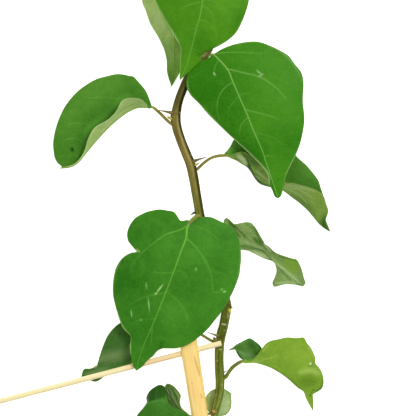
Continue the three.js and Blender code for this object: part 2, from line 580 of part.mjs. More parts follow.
// The cane tapers to its lower end, whose underside is cut on a slant; the rung passes through it.
function caneGeometry() {
  const top = new THREE.Vector2(...CANE_TOP);
  const end = new THREE.Vector2(...CANE_END);
  const along = end.clone().sub(top).normalize();
  const across = new THREE.Vector2(-along.y, along.x);
  const ring = (middle, width) => CANE_OUTLINE.map(([sideways, upwards]) => new THREE.Vector3(
    middle.x + across.x * sideways * width, middle.y + across.y * sideways * width,
    upwards * CANE_HEIGHT));
  const centre = (middle) => new THREE.Vector3(middle.x, middle.y, CANE_HEIGHT / 2);
  const rings = [ring(top, CANE_TOP_WIDTH), ring(end, CANE_END_WIDTH)];
  const body = solidOf(skin(rings, centre(top), centre(end)));

  const slantLength = CANE_FLAT_END_Y - CANE_END[1];
  const slant = new THREE.BoxGeometry(4 * CANE_TOP_WIDTH, 2 * slantLength, CANE_HEIGHT);
  slant.translate(0, -slantLength, -CANE_HEIGHT / 2);
  slant.rotateX(-Math.atan2(CANE_END_RISE, slantLength));
  slant.translate(CANE_END[0], CANE_FLAT_END_Y, 0);

  const holeRadius = RUNG_RADIUS + CLEARANCE;
  const hole = solidOf(roundSolid(rungAxis(), () => holeRadius, 1, STEM_SIDES));
  return geometryOf(body.subtract(mergedSolid(slant)).subtract(hole));
}

function named(name, geometry, color, roughness) {
  const mesh = new THREE.Mesh(geometry, new THREE.MeshStandardMaterial({ color, roughness, metalness: 0 }));
  mesh.name = name;
  return mesh;
}

const shoot = new THREE.Group();
shoot.position.set(...PLAN_SHIFT, 0);
shoot.add(named("main_stem", stemGeometry(0), COLOURS.bark, 0.7));
for (const [name, leaf] of Object.entries(LEAVES)) {
  shoot.add(named(name, leafGeometry(leaf), leaf.colour, 0.45));
}
for (const [name, thorn] of Object.entries(THORNS)) {
  shoot.add(named(name, thornGeometry(thorn), COLOURS.thorn, 0.6));
}
for (const [name, bud] of Object.entries(BUDS)) {
  shoot.add(named(name, budGeometry(bud), COLOURS.bud, 0.6));
}
shoot.add(named("bamboo_cane", caneGeometry(), COLOURS.bamboo, 0.6));
const rung = roundSolid(rungAxis(), () => RUNG_RADIUS, 1, STEM_SIDES);
shoot.add(named("bamboo_rung", rung, COLOURS.bamboo, 0.6));

const plant = new THREE.Group();
plant.add(shoot);

export default plant;
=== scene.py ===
import math
import bpy
import numpy as np
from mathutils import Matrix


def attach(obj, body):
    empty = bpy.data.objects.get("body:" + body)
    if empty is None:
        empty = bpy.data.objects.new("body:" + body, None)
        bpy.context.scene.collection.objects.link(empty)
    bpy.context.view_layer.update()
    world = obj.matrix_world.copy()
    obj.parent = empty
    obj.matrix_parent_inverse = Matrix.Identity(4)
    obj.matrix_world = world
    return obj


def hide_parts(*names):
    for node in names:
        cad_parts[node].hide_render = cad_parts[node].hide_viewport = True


# A cut bougainvillea shoot lying on a pale floor with its bamboo cane and rung, seen from above.
# Places are [x, y, height] in millimetres until a mesh is made; photo centre is at x 0, y 0.
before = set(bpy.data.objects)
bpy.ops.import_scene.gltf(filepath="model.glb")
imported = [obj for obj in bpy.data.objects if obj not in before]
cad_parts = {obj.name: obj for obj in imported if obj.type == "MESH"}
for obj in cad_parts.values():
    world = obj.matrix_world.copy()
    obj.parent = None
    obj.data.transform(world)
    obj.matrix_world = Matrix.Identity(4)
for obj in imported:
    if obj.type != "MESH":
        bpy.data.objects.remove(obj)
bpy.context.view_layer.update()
planShift = np.array([28.05, -1.9, 0.0])   # moves the photo's centre so that the box is centred
mm = 0.001


def unit(vectors):
    return vectors / np.maximum(np.linalg.norm(vectors, axis=-1, keepdims=True), 1e-9)


# Length run along the points, from the first one to each of them
def runLength(points):
    return np.concatenate([[0], np.cumsum(np.linalg.norm(np.diff(points[:, :3], axis=0), axis=1))])


# Centripetal Catmull-Rom curve through the points: each span is a cubic whose end slopes weigh
# the neighbouring spans by the square root of their length. Read at shares of its arc length.
def smoothCurve(points, shares, perSpan=40):
    p = np.asarray(points, float)
    p = np.vstack([2 * p[0] - p[1], p, 2 * p[-1] - p[-2]])
    gap = np.maximum(np.linalg.norm(np.diff(p[:, :3], axis=0), axis=1) ** 0.5, 1e-4)[:, None]
    d0, d1, d2 = gap[:-2], gap[1:-1], gap[2:]
    p0, p1, p2, p3 = p[:-3], p[1:-2], p[2:-1], p[3:]
    slope1 = ((p1 - p0) / d0 - (p2 - p0) / (d0 + d1) + (p2 - p1) / d1) * d1
    slope2 = ((p2 - p1) / d1 - (p3 - p1) / (d1 + d2) + (p3 - p2) / d2) * d1
    t = np.linspace(0, 1, perSpan, endpoint=False)[None, :, None]
    a, b, c, d = p1[:, None], p2[:, None], slope1[:, None], slope2[:, None]
    curve = ((2 * t**3 - 3 * t**2 + 1) * a + (t**3 - 2 * t**2 + t) * c
             + (3 * t**2 - 2 * t**3) * b + (t**3 - t**2) * d)
    curve = np.vstack([curve.reshape(-1, p.shape[1]), p2[-1:]])
    length = runLength(curve)
    want = np.asarray(shares) * length[-1]
    return np.stack([np.interp(want, length, column) for column in curve.T], 1)


# A closed skin over rings of equal point count, with a fan of triangles to a point at each end.
# It turns its faces round if its volume comes out negative.
def closedSkin(name, rings, ends, fields, flat=None):
    rows, count = rings.shape[:2]
    verts = np.vstack([rings.reshape(-1, 3), ends])
    i = np.arange(count)
    j = (i + 1) % count
    low = (np.arange(rows - 1) * count)[:, None]
    quads = np.stack([low + i, low + j, low + count + j, low + count + i], -1).reshape(-1, 4)
    first, last, lastRing = rows * count, rows * count + 1, (rows - 1) * count
    fans = np.vstack([np.stack([np.full(count, first), j, i], 1),
                      np.stack([np.full(count, last), lastRing + i, lastRing + j], 1)])
    corner = verts - verts.mean(0)
    tris = np.vstack([quads[:, [0, 1, 2]], quads[:, [0, 2, 3]], fans])
    across = np.cross(corner[tris[:, 1]], corner[tris[:, 2]])
    if np.einsum("ij,ij->i", corner[tris[:, 0]], across).sum() < 0:
        quads, fans = quads[:, ::-1], fans[:, ::-1]
    mesh = bpy.data.meshes.new(name)
    faces = np.concatenate([quads.ravel(), fans.ravel()]).astype(np.int32)
    starts = np.concatenate([np.arange(len(quads)) * 4, len(quads) * 4 + np.arange(len(fans)) * 3])
    mesh.vertices.add(len(verts))
    mesh.vertices.foreach_set("co", ((verts + planShift) * mm).astype(np.float32).ravel())
    mesh.loops.add(len(faces))
    mesh.loops.foreach_set("vertex_index", faces)
    mesh.polygons.add(len(starts))
    mesh.polygons.foreach_set("loop_start", starts.astype(np.int32))
    mesh.update(calc_edges=True)
    mesh.validate()
    for label, values in fields.items():
        layer = mesh.attributes.new(label, "FLOAT", "POINT")
        layer.data.foreach_set("value", np.asarray(values, np.float32).ravel())
    if flat is not None:
        uv = mesh.uv_layers.new(name="flat")
        uv.data.foreach_set("uv", flat[faces].astype(np.float32).ravel())
    mesh.shade_smooth()
    return mesh


# A place on the UV map for each point of the rings, and then for the two end points
def flatPlaces(first, second, ends):
    return np.vstack([np.stack(np.broadcast_arrays(first, second), -1).reshape(-1, 2), ends])


# One value for each point of the rings, and then for the two end points
def withEnds(field, ends=(0, 0)):
    return np.append(field.ravel(), ends)


def joined(name, *meshes):
    objects = [bpy.data.objects.new(mesh.name, mesh) for mesh in meshes]
    for piece in objects:
        bpy.context.collection.objects.link(piece)
    bpy.ops.object.select_all(action="DESELECT")
    for piece in objects:
        piece.select_set(True)
    bpy.context.view_layer.objects.active = objects[0]
    if len(objects) > 1:
        bpy.ops.object.join()
    objects[0].name = name
    objects[0].data.name = name
    return objects[0]


def place(piece, node, material):
    piece.data.materials.clear()
    piece.data.materials.append(material)
    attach(piece, "root")
    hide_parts(node)


# A tube along a path: rings of the radius in the path's fourth column, in the plane across the
# path, turned from the axis that no stretch of the path runs along.
def tubeRings(path, sides):
    centre, radius = path[:, :3], path[:, 3:]
    along = unit(np.gradient(centre, axis=0))
    guides = np.array([[0, 0, 1], [1, 0, 0], [0, 1, 0], [0.7, 0.7, 0], [0.7, -0.7, 0]], float)
    clear = [np.linalg.norm(np.cross(along, guide), axis=1).min() for guide in guides]
    across = unit(np.cross(along, guides[int(np.argmax(clear))]))
    up = np.cross(across, along)
    angle = np.linspace(0, 2 * np.pi, sides, endpoint=False)
    rings = (centre[:, None] + across[:, None] * (radius * np.cos(angle))[..., None]
             + up[:, None] * (radius * np.sin(angle))[..., None])
    return rings, angle


# Short ways to add the shader nodes that the materials below share
class Nodes:
    def __init__(self, name, specular=0.5):
        self.material = bpy.data.materials.new(name)
        self.material.use_nodes = True
        self.tree = self.material.node_tree
        self.shader = self.tree.nodes["Principled BSDF"]
        self.shader.inputs["Specular IOR Level"].default_value = specular

    def add(self, kind, inputs=None, **settings):
        node = self.tree.nodes.new("ShaderNode" + kind)
        for key, value in settings.items():
            setattr(node, key, value)
        for key, value in (inputs or {}).items():
            self.put(node.inputs[key], value)
        return node

    def put(self, socket, value):
        if isinstance(value, bpy.types.NodeSocket):
            self.tree.links.new(value, socket)
        else:
            socket.default_value = value

    def shade(self, **values):
        for key, value in values.items():
            self.put(self.shader.inputs[key.replace("_", " ")], value)
        return self.material

    def field(self, name):
        return self.add("Attribute", attribute_name=name).outputs["Fac"]

    def place(self):
        return self.add("TexCoord").outputs["Object"]

    def flat(self, scale):   # the piece's own UV map, stretched
        where = self.add("UVMap", uv_map="flat").outputs["UV"]
        return self.add("Mapping", {"Vector": where, "Scale": scale}).outputs[0]

    def math(self, operation, a, b=0.0, clamp=False):
        node = self.add("Math", operation=operation, use_clamp=clamp)
        self.put(node.inputs[0], a)
        self.put(node.inputs[1], b)
        return node.outputs[0]

    def total(self, *values):
        result = values[0]
        for value in values[1:]:
            result = self.math("ADD", result, value)
        return result

    def times(self, a, b):
        return self.math("MULTIPLY", a, b)

    def mix(self, factor, a, b):
        node = self.add("Mix", data_type="RGBA", clamp_factor=True)
        for index, value in ((0, factor), (6, a), (7, b)):
            self.put(node.inputs[index], value)
        return node.outputs[2]

    def noise(self, scale, detail=3.0, rough=0.55, distortion=0.0, where=None):
        return self.add("TexNoise", {"Vector": where or self.place(), "Scale": scale, "Detail": detail,
                                     "Roughness": rough, "Distortion": distortion}).outputs["Fac"]

    def band(self, value, low, high, toLow=0.0, toHigh=1.0):
        return self.add("MapRange", {"Value": value, "From Min": low, "From Max": high,
                                     "To Min": toLow, "To Max": toHigh}).outputs[0]

    def swing(self, noise, amount, middle=0.0):   # a noise spread by amount to both sides of middle
        return self.band(noise, 0.3, 0.7, middle - amount, middle + amount)

    def ramp(self, value, stops):
        node = self.add("ValToRGB", {"Fac": value})
        stretch = node.color_ramp.elements
        while len(stretch) < len(stops):
            stretch.new(0.5)
        for stop, (position, color) in zip(stretch, stops):
            stop.position = position
            stop.color = color if isinstance(color, tuple) else (color, color, color, 1.0)
        return node.outputs["Color"]

    def bump(self, height, strength, distance, normal=None):
        inputs = {"Height": height, "Strength": strength, "Distance": distance}
        if normal:
            inputs["Normal"] = normal
        return self.add("Bump", inputs).outputs["Normal"]


# Colours are given as 0 to 255 as seen on a screen, and turned into light for the shader.
def rgb(red, green, blue):
    c = np.array([red, green, blue]) / 255
    c = np.where(c <= 0.04045, c / 12.92, ((c + 0.055) / 1.055) ** 2.4)
    return (*c.tolist(), 1.0)


blade = {
    "thickness": 0.42,          # mm at the midrib
    "edgePower": 10,            # the higher, the later it thins towards the margin
    "bulge": (1.2, 1.2),        # mm that the left and right halves arch between midrib and margin
    "waves": (0.35, 3.5, 0.0),  # mm, number and start of the waves along the margins
    "waveLag": 0.37,            # share of a wave between the midrib and each margin
    "puff": 0.22,               # mm that the blade swells between its veins
    "puffReach": 4.5,           # mm from a vein to the full swelling
    "groove": (0.12, 0.072),    # mm that the midrib and a side vein are sunk on the upper side
    "ridge": (0.24, 0.15),      # mm that they stand out on the underside
    "fade": 6,                  # the higher, the nearer to the edges puff and groove fade
    "rimReach": 20.0,           # mm from the margin that are told apart at most
    "meshStep": 0.53,           # mm between the points of the mesh
}
veins = {
    "starts": [0.03, 0.1, 0.2, 0.31, 0.43, 0.56, 0.69, 0.81],   # shares of the midrib's length
    "later": (-0.008, 0.012),   # share that the left and right one of a pair leave later
    "bend": (0.21, 0.27),       # how far forward the first pair and the others curve
    "reach": 0.93,              # share of the way to the margin
    "halfWidth": 0.27,          # mm
    "show": 0.22,               # how pale they are at the midrib
    "fade": 0.6,                # share of that which is lost at the margin
    "midribHalfWidth": 0.34, "midribSwell": 0.12,   # mm, and what is added at the base
    "swellLength": 0.15,        # share of the midrib on which that shows
    "midribTaper": 0.4,         # share of its width that the midrib loses to the tip
    "midribEnd": 0.985, "sideEnd": 0.97,   # shares of the midrib beyond which there are no veins
    "midribShow": (0.7, 0.45),  # how pale it is at the base and at the tip
}
stalk = {
    "radius": 0.72,                           # mm
    "under": [0.03, 0.15, 0.4, 0.82],         # shares of the midrib, and radius there as a share
    "underRadius": [0.62, 0.48, 0.36, 0.18],
    "samples": 16, "steps": 110, "sides": 12,
}


# Side veins in blade shares: u = start + bend times (1 - start)^0.6 times v^1.4. A pair leaves
# from each start, all but the first with a small shift between left and right.
def familyVeins(starts):
    v = np.linspace(0, veins["reach"], 60)
    family = []
    for k, start in enumerate(starts):
        for side, later in zip((-1, 1), veins["later"]):
            first = start + later * (k > 0)
            u = first + veins["bend"][k > 0] * (1 - first) ** 0.6 * v**1.4
            family.append(np.stack([u, side * v], 1))
    return np.vstack(family)


# The blade's middle surface P(u, v): u runs from base to tip and v from -1 at the left margin
# over 0 at the midrib to 1 at the right margin. P is the midrib M(u) plus |v| times the way to
# the margin at the same u, plus an arch of bulge times sin(pi u) sin(pi |v|) along the normal,
# and a wave along the margin that grows with v squared.
def bladeSurface(leaf, rows, columns):
    u = np.linspace(0, 1, rows + 1)[:, None]
    v = np.linspace(-1, 1, 2 * columns + 1)
    left, midrib, right = [leafRail(leaf, side, u[:, 0])[:, None] for side in ("left", "midrib", "right")]
    straight = midrib + np.abs(v)[:, None] * (np.where(v[:, None] < 0, left, right) - midrib)
    leftBulge, rightBulge = leaf.get("bulge", blade["bulge"])
    arch = np.where(v < 0, leftBulge, rightBulge) * np.sin(np.pi * u) * np.sin(np.pi * np.abs(v))
    height, number, start = leaf.get("waves", blade["waves"])
    phase = number * u + blade["waveLag"] * np.sign(v) + start
    wave = height * np.sin(np.pi * u) * v**2 * np.sin(2 * np.pi * phase)
    return u, v, straight + bladeNormals(straight) * (arch + wave)[..., None]


def leafRail(leaf, side, shares):
    return smoothCurve([leaf["base"], *leaf[side], leaf["tip"]], shares)


def bladeNormals(middle):
    return unit(np.cross(np.gradient(middle, axis=0), np.gradient(middle, axis=1)))


# The place on the blade at shares u and v, between the four nearest points of its grid
def onBlade(middle, u, v):
    rows, columns = middle.shape[0] - 1, middle.shape[1] - 1
    a = np.clip(u, 0, 0.9999) * rows
    b = np.clip((v + 1) / 2, 0, 0.9999) * columns
    i, j = a.astype(int), b.astype(int)
    fa, fb = (a - i)[:, None], (b - j)[:, None]
    return ((1 - fa) * (1 - fb) * middle[i, j] + fa * (1 - fb) * middle[i + 1, j]
            + (1 - fa) * fb * middle[i, j + 1] + fa * fb * middle[i + 1, j + 1])


# How strongly each point lies on a line: exp(-(d / r)^power) of the distance d to the nearest
# sample, r being the line's half width there. Lines seen from above compare only x and y.
def lineStrength(points, samples, fromAbove=False, amounts=1.0, power=2):
    best = np.zeros(len(points))
    parts = max(1, len(points) * len(samples) // 8000000)   # keeps the arrays in memory
    for part in np.array_split(np.arange(len(points)), parts):
        d2 = sum((points[part, None, k] - samples[None, :, k]) ** 2 for k in range(2 if fromAbove else 3))
        best[part] = (amounts * np.exp(-(d2 / samples[None, :, 3] ** 2) ** (power / 2))).max(1)
    return best


# The midrib's samples with their half widths, and the side veins' samples and how much each
# shows: planned ones run through given places seen from above, the others follow the family.
def leafVeins(leaf, middle):
    u = np.linspace(0.0, veins["midribEnd"], 260)
    halfWidth = leaf.get("midribWidth", veins["midribHalfWidth"]) * (1 - veins["midribTaper"] * u)
    halfWidth += leaf.get("midribSwell", veins["midribSwell"]) * np.exp(-(u / veins["swellLength"]) ** 2)
    midrib = np.column_stack([onBlade(middle, u, 0 * u), halfWidth])
    if "planVeins" in leaf:
        t = np.linspace(0, 1, 120)
        side = np.vstack([smoothCurve([[*point, 0.0] for point in line], t) for _, line in leaf["planVeins"]])
        show = np.concatenate([amount * (1 - veins["fade"] * t**2) for amount, _ in leaf["planVeins"]])
    else:
        family = familyVeins(leaf.get("veins", veins["starts"]))
        family = family[family[:, 0] < veins["sideEnd"]]
        side = onBlade(middle, *family.T)
        show = leaf.get("sideShow", veins["show"]) * (1 - veins["fade"] * family[:, 1] ** 2)
    return midrib, np.column_stack([side, np.full(len(side), veins["halfWidth"])]), show


# Marks are lines seen from above: amount times exp(-(d / radius)^power), the strongest counts.
# Amount and radius fade towards the ends of the line as a half sine to the power fade. A mark may
# end with a power of its own; 2 is soft and 8 has a clear edge.
def markField(points, marks, fade=0.3):
    field = np.zeros(len(points))
    t = np.linspace(0, 1, 60)
    inset = 0.06   # of the half sine at both ends
    profile = np.sin(np.pi * (inset + (1 - 2 * inset) * t)) ** fade
    for radius, amount, line, *power in marks:
        curve = smoothCurve([[*point, 0.0] for point in line], t)
        curve = np.column_stack([curve, radius * profile])
        field = np.maximum(field, lineStrength(points, curve, True, amount * profile, *power))
    return field


# Painted light and shade lightens or darkens round spots seen from above: the sum of amount times exp(-(d /
# radius)^2).
def paintedLightingField(points, paintedLightAndShade):
    return sum((amount * np.exp(-((points[:, 0] - x) ** 2 + (points[:, 1] - y) ** 2) / radius**2)
                for x, y, radius, amount in paintedLightAndShade), np.zeros(len(points)))


# Rows and half columns of points, a mesh step apart along the midrib (or 0.8 of the longer margin,
# where that is more) and across the widest half, and the midrib's length
def gridSize(leaf):
    left, midrib, right = [runLength(leafRail(leaf, side, np.linspace(0, 1, 80)))[-1]
                           for side in ("left", "midrib", "right")]
    coarse = bladeSurface(leaf, 40, 8)[2]
    widest = np.linalg.norm(coarse[:, [0, -1]] - coarse[:, [8]], axis=-1).max()
    rows = int(max(midrib, 0.8 * max(left, right)) / blade["meshStep"])
    return rows, int(max(14, widest / blade["meshStep"])), midrib


# The upper side's rows run on into the underside's, back to front, between the two end rows
def bothSides(above, below):
    return np.concatenate([above, below[:, -2:0:-1]], axis=1)[1:-1]


# The blade is lifted by puff away from its veins and sunk by groove on them, both fading at the
# ends and margins. Half the thickness lies on each side, times the square root of
# 1 - |v|^edgePower, and the veins stand out below by ridge.
def makeBlade(name, leaf):
    rows, columns, size = gridSize(leaf)
    u, v, middle = bladeSurface(leaf, rows, columns)
    normal = bladeNormals(middle)
    points, shape = middle.reshape(-1, 3), middle.shape[:2]
    midrib, side, show = leafVeins(leaf, middle)
    planned = "planVeins" in leaf
    wide = np.vstack([side[:, :3], midrib[:, :3]])[::3]   # every third sample is enough here
    wide = np.column_stack([wide, np.full(len(wide), blade["puffReach"])])
    onMidrib = lineStrength(points, midrib).reshape(shape)
    onSide, shown, near = [lineStrength(points, samples, planned, amounts).reshape(shape)
                           for samples, amounts in ((side, 1.0), (side, show), (wide, 1.0))]
    fade = np.minimum(1, blade["fade"] * np.sin(np.pi * u)) * (1 - np.abs(v) ** blade["fade"])
    groove, ridge = [main * onMidrib + minor * onSide for main, minor in (blade["groove"], blade["ridge"])]
    lift = (blade["puff"] * (1 - near) - groove) * fade
    half = 0.5 * blade["thickness"] * np.sqrt(np.maximum(1 - np.abs(v) ** blade["edgePower"], 0))
    centre = middle + normal * lift[..., None]
    centre[..., 2] = np.maximum(centre[..., 2], 0.5 * blade["thickness"])
    below = half + ridge * (half > 0)
    rings = bothSides(centre + normal * half[:, None], centre - normal * below[..., None])
    rings[..., 2] = np.maximum(rings[..., 2], 0)

    def onSkin(above, below=None):
        skin = bothSides(above, above if below is None else below)
        return withEnds(skin, [above[0, columns], above[-1, columns]])

    widths = np.linalg.norm(middle[:, [0, -1]] - middle[:, [columns]], axis=-1)
    width = np.where(v < 0, widths[:, :1], widths[:, 1:])
    isUnder = bothSides(np.zeros(shape), np.ones(shape))
    isUnder[:, [0, shape[1] - 1]] = 0.5   # the two margins
    # Painted light and shade: round spots, and a whole left or right half
    leftPaintedLighting, rightPaintedLighting = leaf.get("halves", (0, 0))
    paintedLighting = (paintedLightingField(points, leaf.get("paintedLightAndShade", [])).reshape(shape)
            + leftPaintedLighting * np.clip(-8 * v, 0, 1) + rightPaintedLighting * np.clip(8 * v, 0, 1))
    fromBase, toTip = leaf.get("midribShow", veins["midribShow"])
    vein = np.maximum(onMidrib * (fromBase + (toTip - fromBase) * u), shown)
    fields = {"under": withEnds(isUnder, [0.5, 0.5]), "paintedLighting": onSkin(paintedLighting),
              "vein": onSkin(vein, np.maximum(0.8 * onMidrib, shown)),
              "rim": onSkin(np.clip((1 - np.abs(v)) * width, 0, blade["rimReach"]))}
    # Flecks and a painted glint; painted light, with some pale margins and veins; painted shade and shadow
    for label, sides, power in (("fleck", ("flecks", "underFlecks"), 1.0),
                                ("lightMark", ("topLight", "underLight"), 0.3),
                                ("darkMark", ("topDark", "underDark"), 0.3)):
        fields[label] = onSkin(*[markField(points, leaf.get(key, []), power).reshape(shape) for key in sides])
    flat = np.stack([onSkin(u * size * np.ones(shape)) * mm, onSkin(v * width) * mm], 1)
    mesh = closedSkin(name, rings, centre[[0, -1], columns], fields, flat)
    return mesh, centre[:, columns], normal[:, columns]


# The petiole and, under the blade, the midrib as one tube that thins out towards the tip
def makeStalk(name, leaf, centre, normal):
    thick = leaf.get("petioleRadius", stalk["radius"])
    at = np.linspace(stalk["under"][0], stalk["under"][-1], stalk["samples"])
    rows = (at * (len(centre) - 1)).astype(int)
    radii = thick * np.interp(at, stalk["under"], stalk["underRadius"])[:, None]
    points = [[*point, thick] for point in leaf["petiole"]] + [[*leaf["base"], 0.8 * thick]]
    points += np.hstack([centre[rows] - normal[rows] * radii, radii]).tolist()
    steps, sides = stalk["steps"], stalk["sides"]
    path = smoothCurve(points, np.linspace(0, 1, steps))
    rings, angle = tubeRings(path, sides)
    rings[..., 2] = np.maximum(rings[..., 2], 0)
    atBase = np.argmin(np.linalg.norm(path[:, :3] - leaf["base"], axis=1))
    free = np.clip((atBase + 4 - np.arange(steps)) / 8, 0.15, 1)   # 1 before the base, 0.15 after it
    along = {"stalk": free, "under": np.ones(steps), "vein": 0.5 * (1 - free),
             # The blade's painted light and shade spots and underside marks reach onto the stalk as well
             "rim": np.full(steps, blade["rimReach"]), "paintedLighting": paintedLightingField(path, leaf.get("paintedLightAndShade", [])),
             "lightMark": markField(path, leaf.get("underLight", [])),
             "darkMark": markField(path, leaf.get("underDark", []))}
    fields = {label: withEnds(np.repeat(values, sides), values[[0, -1]]) for label, values in along.items()}
    length = runLength(path) * mm
    flat = flatPlaces(angle / (2 * np.pi), length[:, None], [[0, 0], [0, length[-1]]])
    return closedSkin(name + "Petiole", rings, path[[0, -1], :3], fields, flat)


def makeLeaf(name, leaf):
    mesh, centre, normal = makeBlade(name, leaf)
    piece = joined(name, mesh, makeStalk(name, leaf, centre, normal))
    place(piece, leaf["node"], leafMaterial(name + "Green", {**greens, **leaf["look"]}))
    print("leaf", name, len(piece.data.polygons), "faces")


leafFinish = {
    "blotches": {               # noise that shades the green: size, detail, roughness, distortion, swing
        "cloud": (32, 3, 0.5, 0.0, 0.3), "patches": (115, 3, 0.6, 0.8, 0.28),
        "mottle": (260, 4, 0.6, 0.0, 0.24), "speckle": (900, 3, 0.6, 0.0, 0.3)},
    "netSize": 420.0, "netWidth": 0.12,         # the finest veins are the edges of cells
    "topNet": 0.045, "underNet": 0.09,          # how much they show on each side
    "rimWidth": 0.6,                            # mm
    "topRoughness": 0.46, "underRoughness": 0.62, "roughnessSwing": 0.05,
    "specular": 0.07,
}
greens = {
    "topLight": rgb(80, 150, 34), "topDark": rgb(50, 116, 16), "vein": rgb(128, 190, 78),
    "veinShow": 1.0, "rim": rgb(135, 180, 85), "rimShow": 0.3, "fleck": rgb(188, 222, 156),
    # The next two are the colours of painted light and of painted shade and shadow on the upper side
    "lightMark": rgb(160, 205, 110), "darkMark": rgb(30, 80, 14),
    "underLight": rgb(170, 192, 130), "underDark": rgb(118, 150, 80), "underVein": rgb(196, 212, 158),
    # The last colour here is that of painted shade and shadow on the underside
    "underVeinShow": 0.5, "underRim": rgb(150, 178, 105), "underDarkMark": rgb(70, 108, 34),
    "stalkLight": rgb(140, 148, 66), "stalkDark": rgb(104, 112, 40),
}


# Upper side: green between two shades with paler veins and margin; the shade is half of 1 plus
# the painted light and shade spots and the blotches. Painted shade and shadow and painted light are
# laid on where the marks lie. Underside: paler and duller with a fine net. The stalk has its own
# colour.
def leafMaterial(name, look):
    n = Nodes(name, leafFinish["specular"])
    noises = {label: n.noise(*blotch[:4]) for label, blotch in leafFinish["blotches"].items()}
    swings = [n.swing(noises[label], blotch[4]) for label, blotch in leafFinish["blotches"].items()]
    shade = n.math("ADD", n.times(n.total(n.field("paintedLighting"), *swings), 0.5), 0.5, clamp=True)
    cells = n.add("TexVoronoi", {"Vector": n.place(), "Scale": leafFinish["netSize"], "Randomness": 0.9},
                  feature="DISTANCE_TO_EDGE").outputs["Distance"]
    net = n.band(cells, 0.0, leafFinish["netWidth"], 1.0, 0.0)
    rim = n.band(n.field("rim"), 0.0, leafFinish["rimWidth"], look["rimShow"], 0.0)

    def sideColor(dark, light, netShow, vein, veinShow, darkMark, lightMark, rimColor):
        color = n.mix(shade, look[dark], look[light])
        color = n.mix(n.times(net, leafFinish[netShow]), color, look[vein])
        # Painted shade and shadow, then painted light (on the underside in the vein colour), laid over the
        # green
        color = n.mix(n.field("darkMark"), color, look[darkMark])
        color = n.mix(n.field("lightMark"), color, look[lightMark])
        color = n.mix(n.times(n.field("vein"), look[veinShow]), color, look[vein])
        color = n.mix(rim, color, look[rimColor])
        return n.mix(n.field("fleck"), color, look["fleck"])

    top = sideColor("topDark", "topLight", "topNet", "vein", "veinShow", "darkMark", "lightMark", "rim")
    low = sideColor("underDark", "underLight", "underNet", "underVein", "underVeinShow",
                    "underDarkMark", "underVein", "underRim")
    isUnder = n.band(n.field("under"), 0.45, 0.55)
    stalkColor = n.mix(n.noise(120), look["stalkDark"], look["stalkLight"])
    color = n.mix(n.field("stalk"), n.mix(isUnder, top, low), stalkColor)
    rough = n.total(n.band(isUnder, 0, 1, leafFinish["topRoughness"], leafFinish["underRoughness"]),
                    n.swing(noises["mottle"], leafFinish["roughnessSwing"]))
    relief = n.bump(n.total(n.times(net, -0.5), n.times(noises["mottle"], 0.6)), 0.3, 0.0001)
    return n.shade(Base_Color=color, Roughness=rough,
                   Normal=n.bump(n.noise(1900, 2, 0.5), 0.25, 0.00004, relief))
